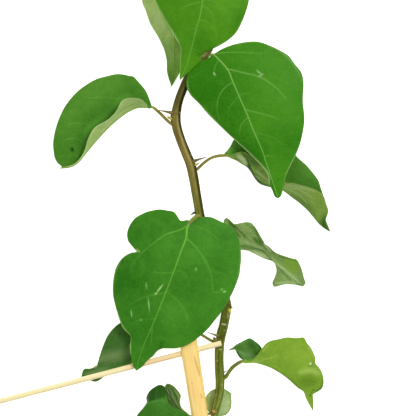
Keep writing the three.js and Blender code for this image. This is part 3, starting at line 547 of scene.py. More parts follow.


# Each leaf: its look's own colours, its petiole from the stem to the base, and the three rails of
# its blade from base to tip. planVeins are (how much it shows, line); spots of painted light and
# shade are (x, y, radius, amount); light and dark marks and flecks are (radius, amount, line,
# power), for the upper side (top) or the underside (under). The light marks are mostly painted
# highlights, sheen and lit strips, with some pale margins and veins; the dark marks are mostly
# painted shade and shadow in folds, under curled edges and beside other leaves. Flecks are pale
# spots, and on the young leaf the painted glint of a drop. A whole left and right half may also
# take painted light or shade.
leaves = {
    "topFrontLeaf": {
        "node": "leaf_top_front", "slot": "upper_leaf",
        "look": {"topLight": rgb(84, 149, 22), "topDark": rgb(57, 123, 10)},
        "petiole": [[-0.5, 147, 19], [-0.5, 145, 20.5], [-1, 143.5, 23.5]], "base": [-1, 140, 26.5],
        "tip": [-16.8, 76.6, 22],
        "left": [[-5.5, 146.5, 25.5], [-13, 149, 24.5], [-23, 146, 23.5], [-29.5, 138, 23],
            [-32, 129.5, 22.5], [-31.5, 125, 22.5], [-29.5, 119, 22.5], [-25.5, 112, 22.5],
            [-21.5, 105, 23], [-18, 100, 23], [-16.5, 96.5, 23], [-16.5, 90, 22.5], [-16.9, 82, 22]],
        "midrib": [[-2, 132, 27.5], [-3, 125, 28], [-4.5, 116, 28], [-7, 107, 27], [-10, 95, 25],
            [-12.5, 86, 23.5]],
        "right": [[3, 146.5, 26], [11, 147.5, 25], [19, 143, 24], [24.5, 134, 23.5], [24.7, 125, 23.5],
            [22.2, 116, 23.5], [19.5, 109.5, 23.5], [17, 105, 23.5], [13.2, 101.2, 23.5], [8.1, 97.7, 23.5],
            [3.5, 95.6, 23], [-0.6, 94.4, 22.7], [-3.2, 92.6, 22.5], [-4.8, 88.2, 22.3], [-8.4, 84.3, 22.2],
            [-12.5, 80.4, 22]],
        "planVeins": [(0.4, [(-4.5, 123), (-9, 122), (-13.2, 120.6), (-18, 118)]),
            (0.35, [(-3, 120.6), (0, 118.8), (2.4, 116.4), (3.6, 112)]),
            (0.3, [(-1.5, 134), (8, 134), (16, 125)]), (0.3, [(-2, 134), (-12, 136), (-22, 129)]),
            (0.25, [(-7, 107.2), (-10, 107.2), (-13.2, 106.8)]), (0.25, [(-5.5, 113), (1, 110), (6, 103)]),
            (0.2, [(-10, 96), (-6, 94), (-3, 92)]), (0.2, [(-3.5, 125), (7, 122), (13, 113)])],
        # Painted light and shade in spots, and paler lines along both margins
        "paintedLightAndShade": [(8, 122, 9, 0.8), (20, 113, 8, -1.1), (-4, 97, 7, -0.8), (-13, 84, 7, 0.4),
            (-20, 118, 9, 0.2), (4, 108, 7, 0.3)],
        "topLight": [(0.7, 0.8, [(-31.8, 124.8), (-28.8, 118.4), (-24, 109.6), (-18, 99.8), (-16.5, 94.8),
            (-16.6, 88.8), (-16.8, 80)]),
            (0.5, 0.4, [(24.4, 120), (21.8, 114.6), (15, 102.8), (3.4, 95.9)])],
        "midribShow": (0.8, 0.5),
    },
    "topBackLeaf": {
        "node": "leaf_top_back", "slot": "lower_leaf",
        "look": {"underLight": rgb(194, 225, 130), "underDark": rgb(118, 168, 59), "underVeinShow": 0.25},
        "petiole": [[-0.5, 143.5, 18.8], [-3, 143.5, 17.5], [-7, 146, 15.5]], "base": [-13, 144.5, 13],
        "tip": [-22, 73, 0.5],
        "left": [[-7, 140, 12], [-3.5, 128, 10], [-5, 113, 8], [-8.5, 99.5, 6], [-13, 89, 4],
            [-18.1, 79.5, 2.5]],
        "midrib": [[-15.5, 137, 10], [-18.5, 125, 6.5], [-20, 113, 4], [-20.5, 98, 2.2], [-20.5, 86, 1.6]],
        "right": [[-21.5, 149, 9], [-30, 145, 5], [-36.5, 138, 3], [-39.5, 129.5, 1.5], [-39.5, 123.5, 0.5],
            [-37.8, 119.3, 0], [-34.8, 111, 0], [-30.4, 104, 0], [-26.5, 95.5, 0], [-25, 89, 0.5],
            [-24.6, 81.5, 0.5]],
        "bulge": (0.3, 0.3), "midribShow": (0.3, 0.2), "sideShow": 0.1,
        # Painted light in a bright band, painted shadow beside the leaf above, darker towards the tip
        "paintedLightAndShade": [(-31, 120, 15, 1.15), (-22, 80, 12, -1.25), (-20, 96, 7, -0.65)],
        "underLight": [(2.2, 0.45, [(-34, 119), (-30, 112), (-26, 107)]),
            (1.3, 0.25, [(-26, 104), (-22.5, 92), (-22.5, 84)])],
        "underDark": [(0.9, 0.35, [(-28.6, 119), (-24, 110), (-18.5, 101), (-17, 93)]),
            (2.4, 0.4, [(-22, 80), (-21.5, 73)])],
    },
    "upperRightLeaf": {
        "node": "leaf_upper_right", "slot": "upper_leaf",
        "look": {"topLight": rgb(71, 141, 22), "topDark": rgb(42, 116, 2), "vein": rgb(146, 200, 100),
            "lightMark": rgb(184, 212, 138)},
        "petiole": [[-3, 90.5, 16.2], [-0.5, 91, 17.8], [1, 91.5, 19.3]], "base": [3, 92, 20.5],
        "tip": [42.2, 5.8, 17],
        "left": [[-1, 89, 20.5], [-5, 87.5, 20], [-11.2, 81.5, 19.5], [-12.8, 77, 19.5],
            [-12.8, 72.3, 19.5], [-10.2, 67.3, 19.5], [-5.6, 62.7, 19.5], [-0.1, 56.4, 19.5],
            [8, 48.4, 19.5], [15.8, 40.8, 19], [25.4, 32.2, 18.5], [32.4, 25.2, 18], [35.8, 20.2, 17.5],
            [36.6, 15, 17], [38.6, 10.4, 17], [40.2, 6.6, 17]],
        "midrib": [[5, 90.5, 21], [12, 82.5, 22.5], [14.5, 76.5, 23], [19, 66, 23], [23, 57, 22.5],
            [27, 47, 22], [32, 35.5, 21], [35, 27, 20], [38, 18, 19]],
        "right": [[8.4, 95.2, 21], [14.6, 97.7, 20.5], [23, 99.5, 20], [30, 99.6, 19.5], [36, 97.7, 19.5],
            [43.2, 94.4, 19], [48.5, 91, 19], [52, 86.4, 18.5], [55.9, 81.3, 18.5], [57.2, 75.5, 18.5],
            [56.8, 64.5, 18.5], [57.8, 53, 18.5], [56.5, 43.5, 18.5], [55, 38, 18.5], [52.5, 31.5, 18.5],
            [49.5, 25.5, 18.5], [47.5, 21.4, 18], [46.2, 17.4, 17.6], [45.3, 13.4, 17.4], [44.6, 9.8, 17.2],
            [43.6, 7, 17.1]],
        "planVeins":
            [(0.75, [(10.8, 83.4), (21, 81), (30.6, 78.6), (36, 75.6), (41.4, 71.4), (46.8, 65.4)]),
            (0.5, [(22.8, 58.8), (36, 55.4), (42.6, 53)]),
            (0.4, [(14.1, 75), (9.6, 71.4), (6.6, 66.6), (5.4, 60), (6.6, 53)]),
            (0.35, [(23.6, 54), (19.8, 49.8), (18.9, 43.8)]),
            (0.4, [(4.4, 92.2), (10.2, 93), (22.8, 93), (32.4, 92.6)]),
            (0.35, [(6.6, 89), (4.4, 85), (3.6, 80.4)]), (0.3, [(33.6, 31.2), (39.6, 31.2)]),
            (0.2, [(18, 67.8), (25.2, 69)]), (0.15, [(28, 45), (37, 43), (45, 38)]),
            (0.15, [(18.5, 67), (13, 60), (12, 52)])],
        # Painted light and shade in spots, the left half in painted shade, and paler lines along the margins
        "paintedLightAndShade": [(40, 72, 18, 0.7), (28, 50, 12, 0.5), (0, 70, 16, -0.7), (16, 56, 9, -0.4),
            (27, 32, 9, -0.9), (50, 38, 8, -0.7), (40, 24, 8, 0.7), (12, 90, 9, -0.2)],
        "topLight": [(0.75, 1.0, [(14, 42.8), (19, 38), (25.4, 32), (32.4, 25), (36, 20), (37, 14)]),
            (0.5, 0.5, [(-12.4, 76), (-11, 69), (-3, 60), (8, 48.4), (15.6, 41)]),
            (0.55, 0.5, [(54, 35), (52.5, 31.5), (49.5, 25.5), (47.5, 21.4), (46, 16.6)]),
            (0.5, 0.3, [(14, 97.5), (30, 99.5), (43, 94), (52, 85), (57, 75)])],
        "flecks": [(0.35, 0.65, [(28.2, 83), (33, 79.2)]), (0.4, 0.6, [(29.8, 78.2), (33.6, 80.6)]),
            (0.5, 0.7, [(3, 81.4), (4.6, 79)])],
        "midribWidth": 0.34, "midribSwell": 0.1, "midribShow": (0.85, 0.75), "halves": (-0.35, 0.05),
    },
    "foldedRightLeaf": {
        "node": "leaf_folded_right", "slot": "upper_leaf",
        "look": {"underLight": rgb(142, 174, 74), "underDark": rgb(92, 132, 38),
            "topLight": rgb(104, 164, 62), "topDark": rgb(74, 134, 38), "underVeinShow": 0.25,
            "underDarkMark": rgb(46, 92, 22), "stalkLight": rgb(152, 146, 66),
            "stalkDark": rgb(112, 102, 42)},
        "petiole": [[-9.3, 21, 11.2], [-6.3, 23.5, 11.8], [-2, 27.5, 12], [2.7, 30.4, 12], [8, 31.5, 11.4]],
        "base": [12, 31.4, 10], "tip": [73.9, -14.3, 0.5], "petioleRadius": 0.9,
        "left": [[13.8, 31.8, 11.5], [17.4, 33.2, 14], [19.8, 33.8, 15], [22.2, 33.4, 15.3], [25, 32.2, 15],
            [28, 30.6, 15], [31, 29, 15], [35, 26, 15], [40, 21, 15], [46.8, 15.4, 15], [51, 15, 15.5],
            [55.2, 13.9, 15.5], [60, 12.6, 15], [64.2, 11.1, 13.5], [67.6, 9.2, 12], [69.8, 6.6, 10.5],
            [70.9, 3, 9], [72.3, -1, 7], [72, -4, 5], [70.9, -7, 3.5], [71.3, -10, 2]],
        "midrib": [[15.6, 30.5, 8.5], [19.5, 28, 6.5], [25.2, 23.9, 4.5], [28.6, 18.3, 3], [32.1, 14.6, 2],
            [37, 13.1, 1.5], [45.3, 11, 1], [49.3, 7.8, 0.5], [55.1, 3.5, 0.5], [61.3, -2.3, 0.5],
            [67.9, -10.2, 0.5]],
        "right": [[9.8, 32.7, 10.2], [11.4, 34.4, 10.6], [13.3, 37, 11], [15.5, 41, 12], [22, 48, 12],
            [32.5, 50, 11], [43, 43, 11], [53, 31.4, 10.5], [55.5, 28.9, 10.5], [58.7, 26.2, 10.5],
            [61.8, 22.7, 10], [64.5, 19.3, 9.5], [66.5, 16.3, 9], [67.8, 12.2, 8.5], [69.4, 7.4, 7.5],
            [70.6, 2, 5], [70.8, -6, 2.5]],
        "bulge": (-0.8, -0.5), "waves": (0, 0, 0),
        # Painted light and shade in spots; painted shade in the fold, under the rolled edge and on the half
        # seen in the hollow, painted light on the strips beside it, darker towards the tip
        "paintedLightAndShade": [(30, 17, 6, -0.6), (60, 8, 9, 0.4), (56, 26, 8, 0.2)],
        "underLight": [(1.5, 0.7, [(18, 31.6), (20.8, 29.6), (23, 26.6)], 4),
            (0.8, 0.3, [(47, 14), (56, 12.5), (64, 10)]), (0.7, 0.35, [(29, 22.5), (33, 19), (36.5, 16.6)]),
            (0.5, 0.3, [(28, 19.8), (32, 16.8)]), (0.4, 0.35, [(46, 12.5), (54, 8.5), (60, 3)]),
            (0.4, 0.3, [(45.6, 13.4), (55, 11), (63, 6)])],
        "underDark": [(1.0, 1.0, [(19.5, 34.5), (21.8, 31.8), (23.6, 28.8), (24.8, 25.8), (25.8, 22.8),
            (28.8, 18.2), (32.3, 14.9), (37.1, 13.5)], 4), (3.0, 0.5, [(50, 7.5), (57, 3), (64, -5)]),
            (2.6, 0.7, [(24, 32), (27, 28.4), (30, 25.5)], 3),
            (4.4, 0.95, [(72, -6), (71.4, -10), (73, -14)], 3),
            (0.5, 0.5, [(45.3, 11.2), (55.2, 3.8), (67.8, -10)])],
        "topDark": [(4, 0.25, [(19, 35), (27, 29), (33, 22)])],
    },
    "foldedLeftLeaf": {
        "node": "leaf_folded_left", "slot": "upper_leaf",
        "look": {"topLight": rgb(88, 148, 46), "topDark": rgb(54, 116, 22), "darkMark": rgb(10, 44, 18),
            "lightMark": rgb(106, 178, 60), "underLight": rgb(172, 196, 118),
            "underDark": rgb(128, 162, 76), "underVeinShow": 0.25, "stalkLight": rgb(158, 148, 62),
            "stalkDark": rgb(122, 104, 44)},
        "petiole": [[-19, 49.4, 13.5], [-22.3, 50.7, 13.7], [-25.1, 53.2, 13.9], [-28.5, 56.6, 13.8],
            [-32, 59.7, 13.1]],
        "base": [-33.5, 60.6, 12.5], "tip": [-89.9, 23.9, 0], "petioleRadius": 0.92,
        "left": [[-35.3, 65.8, 11], [-37.5, 70.7, 10.5], [-41.5, 75.6, 10], [-45, 79.1, 10],
            [-47.6, 79.5, 10], [-50.2, 80.2, 9.8], [-55, 80.5, 9.4], [-59, 79.7, 9], [-67.1, 77.5, 8.5],
            [-73.7, 73.8, 8], [-79.7, 69, 7], [-86.2, 60.8, 6], [-89.5, 54.2, 5], [-91.9, 47.1, 4],
            [-93.3, 39, 3], [-93, 34, 2], [-92.2, 29.8, 1.2], [-90.2, 26.7, 0.8], [-87.6, 25.1, 0.5]],
        "midrib": [[-36.5, 60.6, 11.5], [-41, 61, 10], [-47.6, 58.5, 8], [-56.9, 51.3, 5.5],
            [-66.4, 41.4, 3], [-74.4, 31.8, 1.5], [-79.2, 26.6, 0.5], [-83.6, 24.6, 0]],
        "right": [[-35.5, 59.5, 13.5], [-36.5, 62, 16], [-40.5, 65.5, 18], [-45, 66, 19], [-51, 64.5, 19.5],
            [-55, 58.5, 18], [-61, 52.5, 16], [-68, 48, 14], [-72.5, 41, 11.5], [-74, 35.5, 9],
            [-76, 31, 6.5], [-80, 27, 4], [-86, 25, 1.2]],
        "bulge": (0.6, 0.6),
        "planVeins": [(0.4, [(-71.7, 66.2), (-62.4, 66.8), (-52.8, 65.8)]),
            (0.3, [(-83.5, 50.7), (-75.6, 51.2), (-68.4, 48.6)]),
            (0.3, [(-86.5, 41.2), (-79.2, 41.9), (-74.4, 39)]), (0.15, [(-80, 60), (-72, 58), (-64, 54)])],
        # Painted light and shade in spots, and painted light beside the folded edge against its shadow; pale
        # and dark lines along that edge
        "paintedLightAndShade": [(-72, 68, 12, 0.6), (-46, 71, 8, -0.2), (-56, 73, 8, 0.4), (-60, 60, 6, -0.5),
            (-70, 54, 7, -0.4), (-84, 54, 8, 0.4), (-78, 40, 7, -0.6), (-80, 46, 5, 0.2)],
        "underLight": [(0.4, 0.7, [(-38, 63.5), (-42, 66), (-46, 66), (-51, 64.2), (-55, 58.6), (-61, 52.6),
            (-68, 47.8), (-72.4, 41), (-74.4, 35)]),
            (0.35, 0.45, [(-46, 61), (-54, 56), (-62, 48), (-70, 38)])],
        "underDark": [(0.4, 0.4, [(-40, 63), (-48, 61), (-56, 54.5), (-65, 44), (-73, 34)]),
            (0.4, 0.35, [(-44, 62.6), (-51, 60), (-59, 50.5), (-68, 42)])],
        "topLight": [(2.3, 0.45, [(-45, 67.6), (-52, 66.2), (-56.8, 60.4), (-62.5, 54.4), (-69.5, 49.8),
            (-74.4, 42.4), (-76, 36), (-78.4, 31.4)])],
        "topDark": [(0.9, 1.0, [(-82, 36.2), (-81.6, 34.4)])],
    },
    "middleFrontLeaf": {
        "node": "leaf_middle_front", "slot": "upper_leaf",
        "look": {"topLight": rgb(74, 145, 38), "topDark": rgb(40, 110, 14), "vein": rgb(126, 192, 68),
            "rimShow": 0.35, "lightMark": rgb(165, 208, 110), "stalkLight": rgb(152, 162, 70),
            "stalkDark": rgb(114, 122, 44), "fleck": rgb(174, 226, 134)},
        "petiole": [[-5.2, -5.2, 9.5], [-6, -4.6, 14], [-6.9, -4.9, 18], [-8.2, -6.1, 20.2],
            [-9.8, -7.6, 20.6]],
        "base": [-11.2, -9.2, 19.8], "tip": [-43, -97.8, 10],
        "left": [[-11.7, -7.4, 19.6], [-12.6, -7.1, 19.2], [-14.2, -7.5, 18.8], [-16.4, -7.5, 18.4],
            [-18, -6.2, 18], [-18.9, -4.5, 17.7], [-20.2, -2.4, 17.5], [-24.6, -1.4, 17], [-28.6, -0.8, 16],
            [-32.6, -1.3, 15.5], [-36.7, -2.3, 15], [-41, -4.3, 14.5], [-43.5, -5.8, 14.5],
            [-46.4, -9.3, 14], [-48.1, -13, 14], [-48.6, -16.4, 14], [-47.6, -20.4, 14],
            [-44.9, -22.6, 14.2], [-42.8, -23.9, 14.5], [-42.1, -25.3, 15], [-43.5, -26.5, 14.8],
            [-45.8, -26.8, 14.5], [-49.5, -28.6, 14], [-52.8, -31.7, 13.6], [-55.4, -36.3, 13.2],
            [-56.8, -42.3, 12.8], [-57.2, -46.9, 12.5], [-57, -52.5, 12], [-55.5, -59, 12],
            [-53, -67.5, 12], [-51, -72, 12], [-46.5, -77, 12], [-47, -83.5, 11.5], [-46, -90, 11],
            [-45, -95, 10.5]],
        "midrib": [[-12.5, -12, 20], [-13, -17.5, 20.5], [-16, -25.5, 20], [-20.5, -38, 19],
            [-25.5, -51, 18], [-32.5, -68.5, 15.5], [-38, -81, 13], [-41.5, -91, 11]],
        "right": [[-10.1, -8, 19.4], [-8.6, -7.2, 19], [-7.2, -6.8, 18.7], [-5.9, -6.3, 18.4],
            [-4.4, -5.8, 18.2], [-2.4, -5.3, 18.1], [1.2, -5.3, 18], [3.6, -6.1, 17.7], [5.9, -7.2, 17.3],
            [10, -9.1, 16.8], [13.7, -10.8, 16.5], [17.3, -15.8, 16], [18.9, -20.5, 16],
            [19.9, -29.5, 15.5], [19.5, -35, 15.5], [18.8, -40.2, 15.5], [16, -48, 15], [12.5, -55, 14.5],
            [9, -61, 14.5], [4, -67.5, 14.5], [0, -72.5, 14.5], [-8, -79.5, 14], [-14.4, -83, 14],
            [-19.5, -84.2, 13.5], [-25.5, -83.8, 13], [-30.1, -85.6, 12], [-33, -89, 11.5],
            [-36.4, -91.6, 11], [-39.3, -95.2, 10.5]],
        "planVeins": [(0.9, [(-12.9, -10.8), (-15.4, -12.5), (-19.2, -13.9), (-25.2, -15.8), (-31.8, -20.4),
            (-34.8, -22.8)]), (0.35, [(-34.2, -22.3), (-41, -28.4), (-46.8, -36)]),
            (0.7, [(-12.8, -18), (-7.8, -22.8), (-3, -29.4), (0.6, -36), (2.4, -43.2), (3, -50.4)]),
            (0.28, [(-8.4, -10.4), (-5, -11.4), (-2, -12.6), (1.2, -14.6), (4.2, -16.8), (6.4, -19.4)]),
            (0.4, [(-20.8, -38.7), (-27, -38.9), (-33.6, -38.4)]),
            (0.3, [(-25.2, -50.7), (-33.6, -52.2), (-40.8, -54.6), (-46.8, -58.2)]),
            (0.35, [(-24.6, -50.2), (-18, -55.8), (-13.2, -62.4), (-11.4, -70.2)]),
            (0.2, [(-19.6, -37.2), (-14.4, -39), (-10.8, -46.2)]),
            (0.4, [(-33.2, -71.4), (-34, -77), (-34.2, -82.2)]), (0.2, [(2.4, -37.2), (10.2, -39.6)]),
            (0.4, [(3, -50.4), (8.4, -50.4)]), (0.15, [(-31, -66), (-40, -67), (-47, -69)]),
            (0.15, [(-28, -60), (-22, -66), (-19, -75)])],
        # Painted light and shade in spots, and paler lines along the margins
        "paintedLightAndShade": [(-2, -24, 10, 0.4), (-25, -22, 10, 0.6), (-42, -14, 7, -0.6), (-40, -8, 6, 0.4),
            (-48, -42, 10, -0.8), (-14, -46, 9, -0.6), (4, -34, 8, -0.5), (-20, -63, 10, 0.6),
            (10, -50, 7, 0.3), (10, -17, 7, -0.3), (-36, -74, 9, -0.6), (-8, -74, 9, -0.3),
            (-30, -45, 7, 0.3), (-12, -30, 5, 0.5)],
        "topLight": [(0.6, 1.0,
            [(-54.6, -62), (-52.6, -68.6), (-50.6, -72.4), (-46.8, -77), (-46.8, -81), (-46.4, -88)]),
            (0.5, 0.35, [(-52, -31.4), (-55.5, -38), (-57, -47), (-57, -54)]),
            (0.8, 0.7, [(-43.2, -25), (-41, -26.2)]),
            (0.45, 0.3, [(9.6, -60.4), (16, -48.6), (19.2, -34), (18.8, -22)])],
        "topDark": [(1.6, 0.5, [(-51, -31), (-53, -33)]), (1.5, 0.4, [(-29, -84), (-27, -80)])],
        "flecks": [(0.48, 0.9, [(-31.5, -51.6), (-29, -48.4), (-26.4, -45)]),
            (0.55, 1.0, [(-31.6, -51.7), (-30.9, -50.9)]), (0.34, 0.55, [(-37.2, -43.8), (-36.6, -49.2)]),
            (0.38, 0.7, [(-36, -52.8), (-34.8, -63)]), (0.42, 0.65, [(-46.2, -60.6), (-45.6, -66)]),
            (0.55, 0.4, [(-40.4, -67.2), (-40, -67.3)]), (0.42, 0.6, [(-7.2, -35.4), (-7.2, -37.8)]),
            (0.35, 0.2, [(-3, -39), (-3, -39.4)]), (0.5, 0.85, [(8.8, -50.1), (11, -50.2)]),
            (0.45, 0.5, [(7, -48), (9.4, -49.6)])],
        "midribWidth": 0.34, "midribSwell": 0.2, "midribShow": (1.0, 0.7), "petioleRadius": 1.15,
    },
    "twistedRightLeaf": {
        "node": "leaf_twisted_right", "slot": "lower_leaf",
        "look": {"underLight": rgb(148, 178, 104), "underDark": rgb(90, 126, 52),
            "underVein": rgb(182, 204, 142), "underDarkMark": rgb(66, 112, 26), "underVeinShow": 0.2,
            "underRim": rgb(110, 146, 74), "fleck": rgb(122, 162, 40), "topLight": rgb(120, 156, 80),
            "topDark": rgb(84, 122, 48)},
        "petiole": [[3.5, -32.5, 7], [5.5, -32.5, 7], [8.5, -30, 7], [11.5, -27.5, 7]],
        "base": [14.5, -25, 7], "tip": [57.2, -47.4, 0.5],
        "left": [[11.5, -19, 8], [9.4, -12, 9.5], [9.5, -8.2, 10], [10, -6.6, 10.3], [11.1, -6, 10.6],
            [12.3, -6.5, 11], [13.5, -8.1, 11.4], [15.6, -9.4, 12], [19, -9, 12], [23.4, -8.4, 11],
            [26.4, -9.2, 10.4], [28.5, -12.6, 9.6], [30.2, -16.8, 9], [32.4, -20.3, 8.6],
            [36.9, -23.1, 8.5], [40.3, -26.4, 8.5], [47.6, -29.5, 9], [50.8, -30.4, 9], [53.4, -31.1, 9],
            [56.1, -36, 7], [58, -42.6, 4], [58.8, -45.2, 2]],
        "midrib": [[19, -24.5, 6.5], [25, -23.5, 6], [31, -24, 6], [36, -27, 6], [41, -33.5, 6],
            [47.5, -38.5, 5], [53, -43.5, 2.5]],
        "right": [[18, -25, 4], [23, -25.4, 3], [28.1, -27.8, 3], [33.4, -30.2, 3], [39.4, -32.3, 3.4],
            [40.9, -35, 3], [41.3, -39.6, 2], [39, -45.4, 0.8], [39.8, -47.3, 0.5], [46.8, -46, 1.4],
            [53, -46.3, 1.2]],
        # Painted light and shade in spots and lit streaks; painted shadow of the rolled edge and of the leaf
        # above, and painted shade in the folds
        "bulge": (0.5, 0.5), "paintedLightAndShade": [(25, -11.5, 5, -0.4), (20, -17, 5, 0.3), (46, -43, 5, 0.4)],
        "underLight": [(0.8, 0.6, [(32.6, -20), (34.8, -23), (36.6, -25)]),
            (1.0, 0.6, [(40.8, -33), (45.6, -36.8), (50.4, -41), (55.2, -44.6)]),
            (1.7, 0.9, [(23, -25.4), (30, -27.4), (37.6, -30.4)]), (1.2, 0.3, [(16.5, -12), (20, -14.5)]),
            (1.0, 0.4, [(22, -20), (28, -22.5), (33, -25)]),
            (0.8, 0.6, [(41, -45.4), (48, -44.8), (54, -45.2)]), (1.2, 0.65, [(33, -20.4), (38, -25.6)])],
        "underFlecks": [(4.2, 0.75, [(45, -32), (50.4, -34.4), (55, -39)], 3)],
        "underDark": [(1.1, 1.0, [(14.2, -11.6), (16.8, -14.7), (19.2, -17.4)]),
            (1.3, 1.0, [(27, -17.6), (29.4, -19.8), (32, -22.4)]),
            (1.3, 0.75, [(19, -23), (24, -23.4), (30, -24.2), (34, -26.4)]),
            (0.6, 0.7, [(42.6, -36), (46.8, -40.2), (49.8, -43.2)]),
            (0.6, 0.8, [(42, -28.6), (47.5, -30.2), (53, -32)]), (0.8, 0.45, [(12.4, -8.6), (15, -12)]),
            (0.5, 0.8, [(33.6, -20.4), (36.6, -23.4), (40, -27)]),
            (0.7, 0.4, [(22.5, -9.4), (27, -12), (29.4, -17)]), (0.5, 0.6, [(52, -45), (56, -46.4)])],
    },
    "lowerLeftLeaf": {
        "node": "leaf_lower_left", "slot": "upper_leaf",
        "look": {"topLight": rgb(80, 124, 54), "topDark": rgb(46, 94, 26), "vein": rgb(128, 165, 92),
            "darkMark": rgb(34, 78, 18), "lightMark": rgb(136, 160, 104)},
        "petiole": [[5.5, -81.3, 2.9], [2.8, -80.3, 3], [0, -78.7, 3.3], [-4, -76.2, 3.5], [-11, -72, 4],
            [-18, -73, 4]],
        "base": [-25, -80, 3.5], "tip": [-76.5, -101.8, 0], "petioleRadius": 0.85,
        "left": [[-27, -74.5, 3.5], [-31, -68.5, 3.5], [-37, -65, 3.5], [-45, -65, 4], [-53, -69.1, 4],
            [-56.3, -71.7, 4], [-60.3, -76.7, 4], [-63, -82.5, 3.5], [-65.5, -89.5, 3], [-67.4, -95.3, 2],
            [-71, -96.7, 1.5], [-74.7, -97, 1]],
        "midrib": [[-35, -83, 3], [-46.5, -89, 2.5], [-57.5, -92.5, 2], [-66, -95, 1.5], [-72, -98, 0.5]],
        "right": [[-29, -83, 2.5], [-36, -86.5, 1.5], [-42, -91, 0.5], [-50, -96.5, 0], [-57, -99.5, 0],
            [-62.8, -101.8, 0], [-65, -103.5, 0], [-68, -104.7, 0], [-71, -103.9, 0], [-73.8, -102.7, 0]],
        "sideShow": 0.1, "midribShow": (0.35, 0.25),
        # Painted light and shade in spots, and a painted greyish sheen above the rung
        "paintedLightAndShade": [(-44, -84, 7, 0.4), (-38, -70, 8, 0.2), (-40, -78, 5, 0.6)],
        "topLight": [(3.4, 0.5, [(-66, -91), (-56, -89), (-47, -86.5)]),
            (2.2, 0.4, [(-73, -100), (-66, -98.6), (-60, -97)]),
            (0.45, 0.7, [(-68.5, -95.2), (-71, -96.2), (-74.6, -96.8), (-76, -99)]),
            (0.4, 0.3, [(-60.8, -76.6), (-63.2, -83), (-65.6, -90)])],
        "topDark": [(1.0, 0.3, [(-71.5, -97.8), (-66, -98)])],
    },
    "lowerRightLeaf": {
        "node": "leaf_lower_right", "slot": "young_leaf",
        # Its yellow-green is partly the young leaf's own colour and partly painted light shining through it
        "look": {"underLight": rgb(147, 186, 58), "underDark": rgb(108, 151, 39),
            "underVein": rgb(178, 212, 100), "underDarkMark": rgb(78, 114, 24),
            "topLight": rgb(130, 175, 50), "topDark": rgb(96, 144, 34), "fleck": rgb(236, 252, 190),
            "underVeinShow": 0.2, "underRim": rgb(112, 146, 40)},
        "petiole": [[7.4, -103, 4.2], [10.5, -102.2, 5], [13, -98.4, 6], [15.8, -95.2, 7.4],
            [18.6, -93.1, 9]],
        "base": [21, -92.2, 10], "tip": [63.4, -122.2, 3], "petioleRadius": 0.9,
        "left": [[26.5, -91.5, 11], [29.8, -88.2, 13], [32.3, -84.4, 15], [34.8, -81.3, 16],
            [37.4, -79.7, 16], [42, -78.6, 16], [47.5, -77.5, 15.5], [53, -78, 15], [57.5, -77.8, 14.5],
            [59.2, -80.7, 14], [61.8, -84, 13.7], [63.6, -87.5, 13.3], [64.6, -90.4, 13], [64.5, -93, 12.7],
            [66.3, -95.2, 12.2], [68.2, -98.2, 11.5], [69.2, -101.4, 10.5], [69.4, -105.8, 9.2],
            [68.2, -108.9, 8.2], [65.6, -110, 7.2], [63, -109.7, 6.3], [63.2, -113.4, 5.2],
            [63.4, -117.5, 4.2]],
        "midrib": [[27.5, -92.1, 9.5], [32.5, -93.3, 9], [37.9, -95.4, 8.5], [43.4, -98.7, 7.5],
            [48.8, -102.7, 6.5], [53.7, -107.3, 5], [58, -110.5, 4.5], [59.5, -114.5, 4]],
        "right": [[27.5, -90, 7], [35, -86.5, 5], [44, -86, 3], [53, -90.5, 1.5], [59.5, -98.5, 0],
            [62.5, -107, 0], [62, -114, 1.5]],
        "bulge": (0.8, 0.8), "waves": (0.15, 3.5, 0.0),
        # Painted light and shade in spots; a painted highlight band across the lobe, painted light on the
        # veins and right edge, painted shade along the curled lower edge and round a drop of water, and the
        # drop's painted glint
        "paintedLightAndShade": [(60, -92, 7, 0.7), (52, -88, 8, 0.3), (33, -92, 7, -0.3), (46, -98, 7, -0.5),
            (56, -106, 7, -0.7)],
        "underLight": [(2.0, 0.7, [(55, -99), (61.8, -97.4), (67.4, -99.8)]),
            (0.45, 0.45, [(28, -92.4), (37.2, -90), (42.6, -88.2)]),
            (0.5, 0.55, [(32.6, -86.4), (34.4, -83.7), (36.2, -81.8)]), (0.8, 0.35, [(60, -83), (64, -91)]),
            (3.0, 0.25, [(24, -91), (32, -91)])],
        "underDark": [(0.5, 0.8, [(27, -92.2), (32.4, -93.4), (40.2, -97), (49.2, -103), (57, -109.6)]),
            (3.8, 0.4, [(58, -104), (64, -104.6)]),
            (0.9, 0.45, [(60.2, -94.6), (61.6, -95.4), (63, -94.6)]),
            (0.6, 0.7, [(62.6, -109.6), (66, -109.8), (68.4, -107), (68.8, -103)])],
        "underFlecks": [(0.55, 1.6, [(61.2, -93.5), (62, -93.4)])],
    },
    "smallYoungLeaf": {
        "node": "leaf_small_young", "slot": "upper_leaf",
        "look": {"topLight": rgb(98, 144, 62), "topDark": rgb(54, 108, 30), "darkMark": rgb(34, 84, 18),
            "lightMark": rgb(120, 152, 96)},
        "petiole": [[7.4, -101.8, 3], [10.2, -101, 3.2], [14, -95.8, 4.2], [17.4, -93.2, 5.2],
            [19.8, -92, 6.2]],
        "base": [22, -91.5, 6.8], "tip": [12.6, -85.6, 8.5],
        "left": [[25, -91, 5.6], [29, -89.5, 5.2], [31.9, -86.4, 5.8], [32.4, -84.5, 6.4],
            [30.6, -81.9, 7.2], [28, -79.9, 8], [25.3, -78.3, 8.6], [23, -78.9, 9], [21, -80, 9],
            [17.6, -82.9, 9], [15.6, -83.8, 9], [14, -84.2, 9]],
        "midrib": [[22, -89, 7.5], [20.5, -86.5, 8], [18, -85, 8.5], [16, -84, 9]],
        "right": [[20.2, -90.9, 6.5], [18.1, -88.7, 7], [17.3, -87.1, 7.5], [16.9, -85.4, 8],
            [16, -84.5, 8.5], [14.5, -84.5, 8.5]],
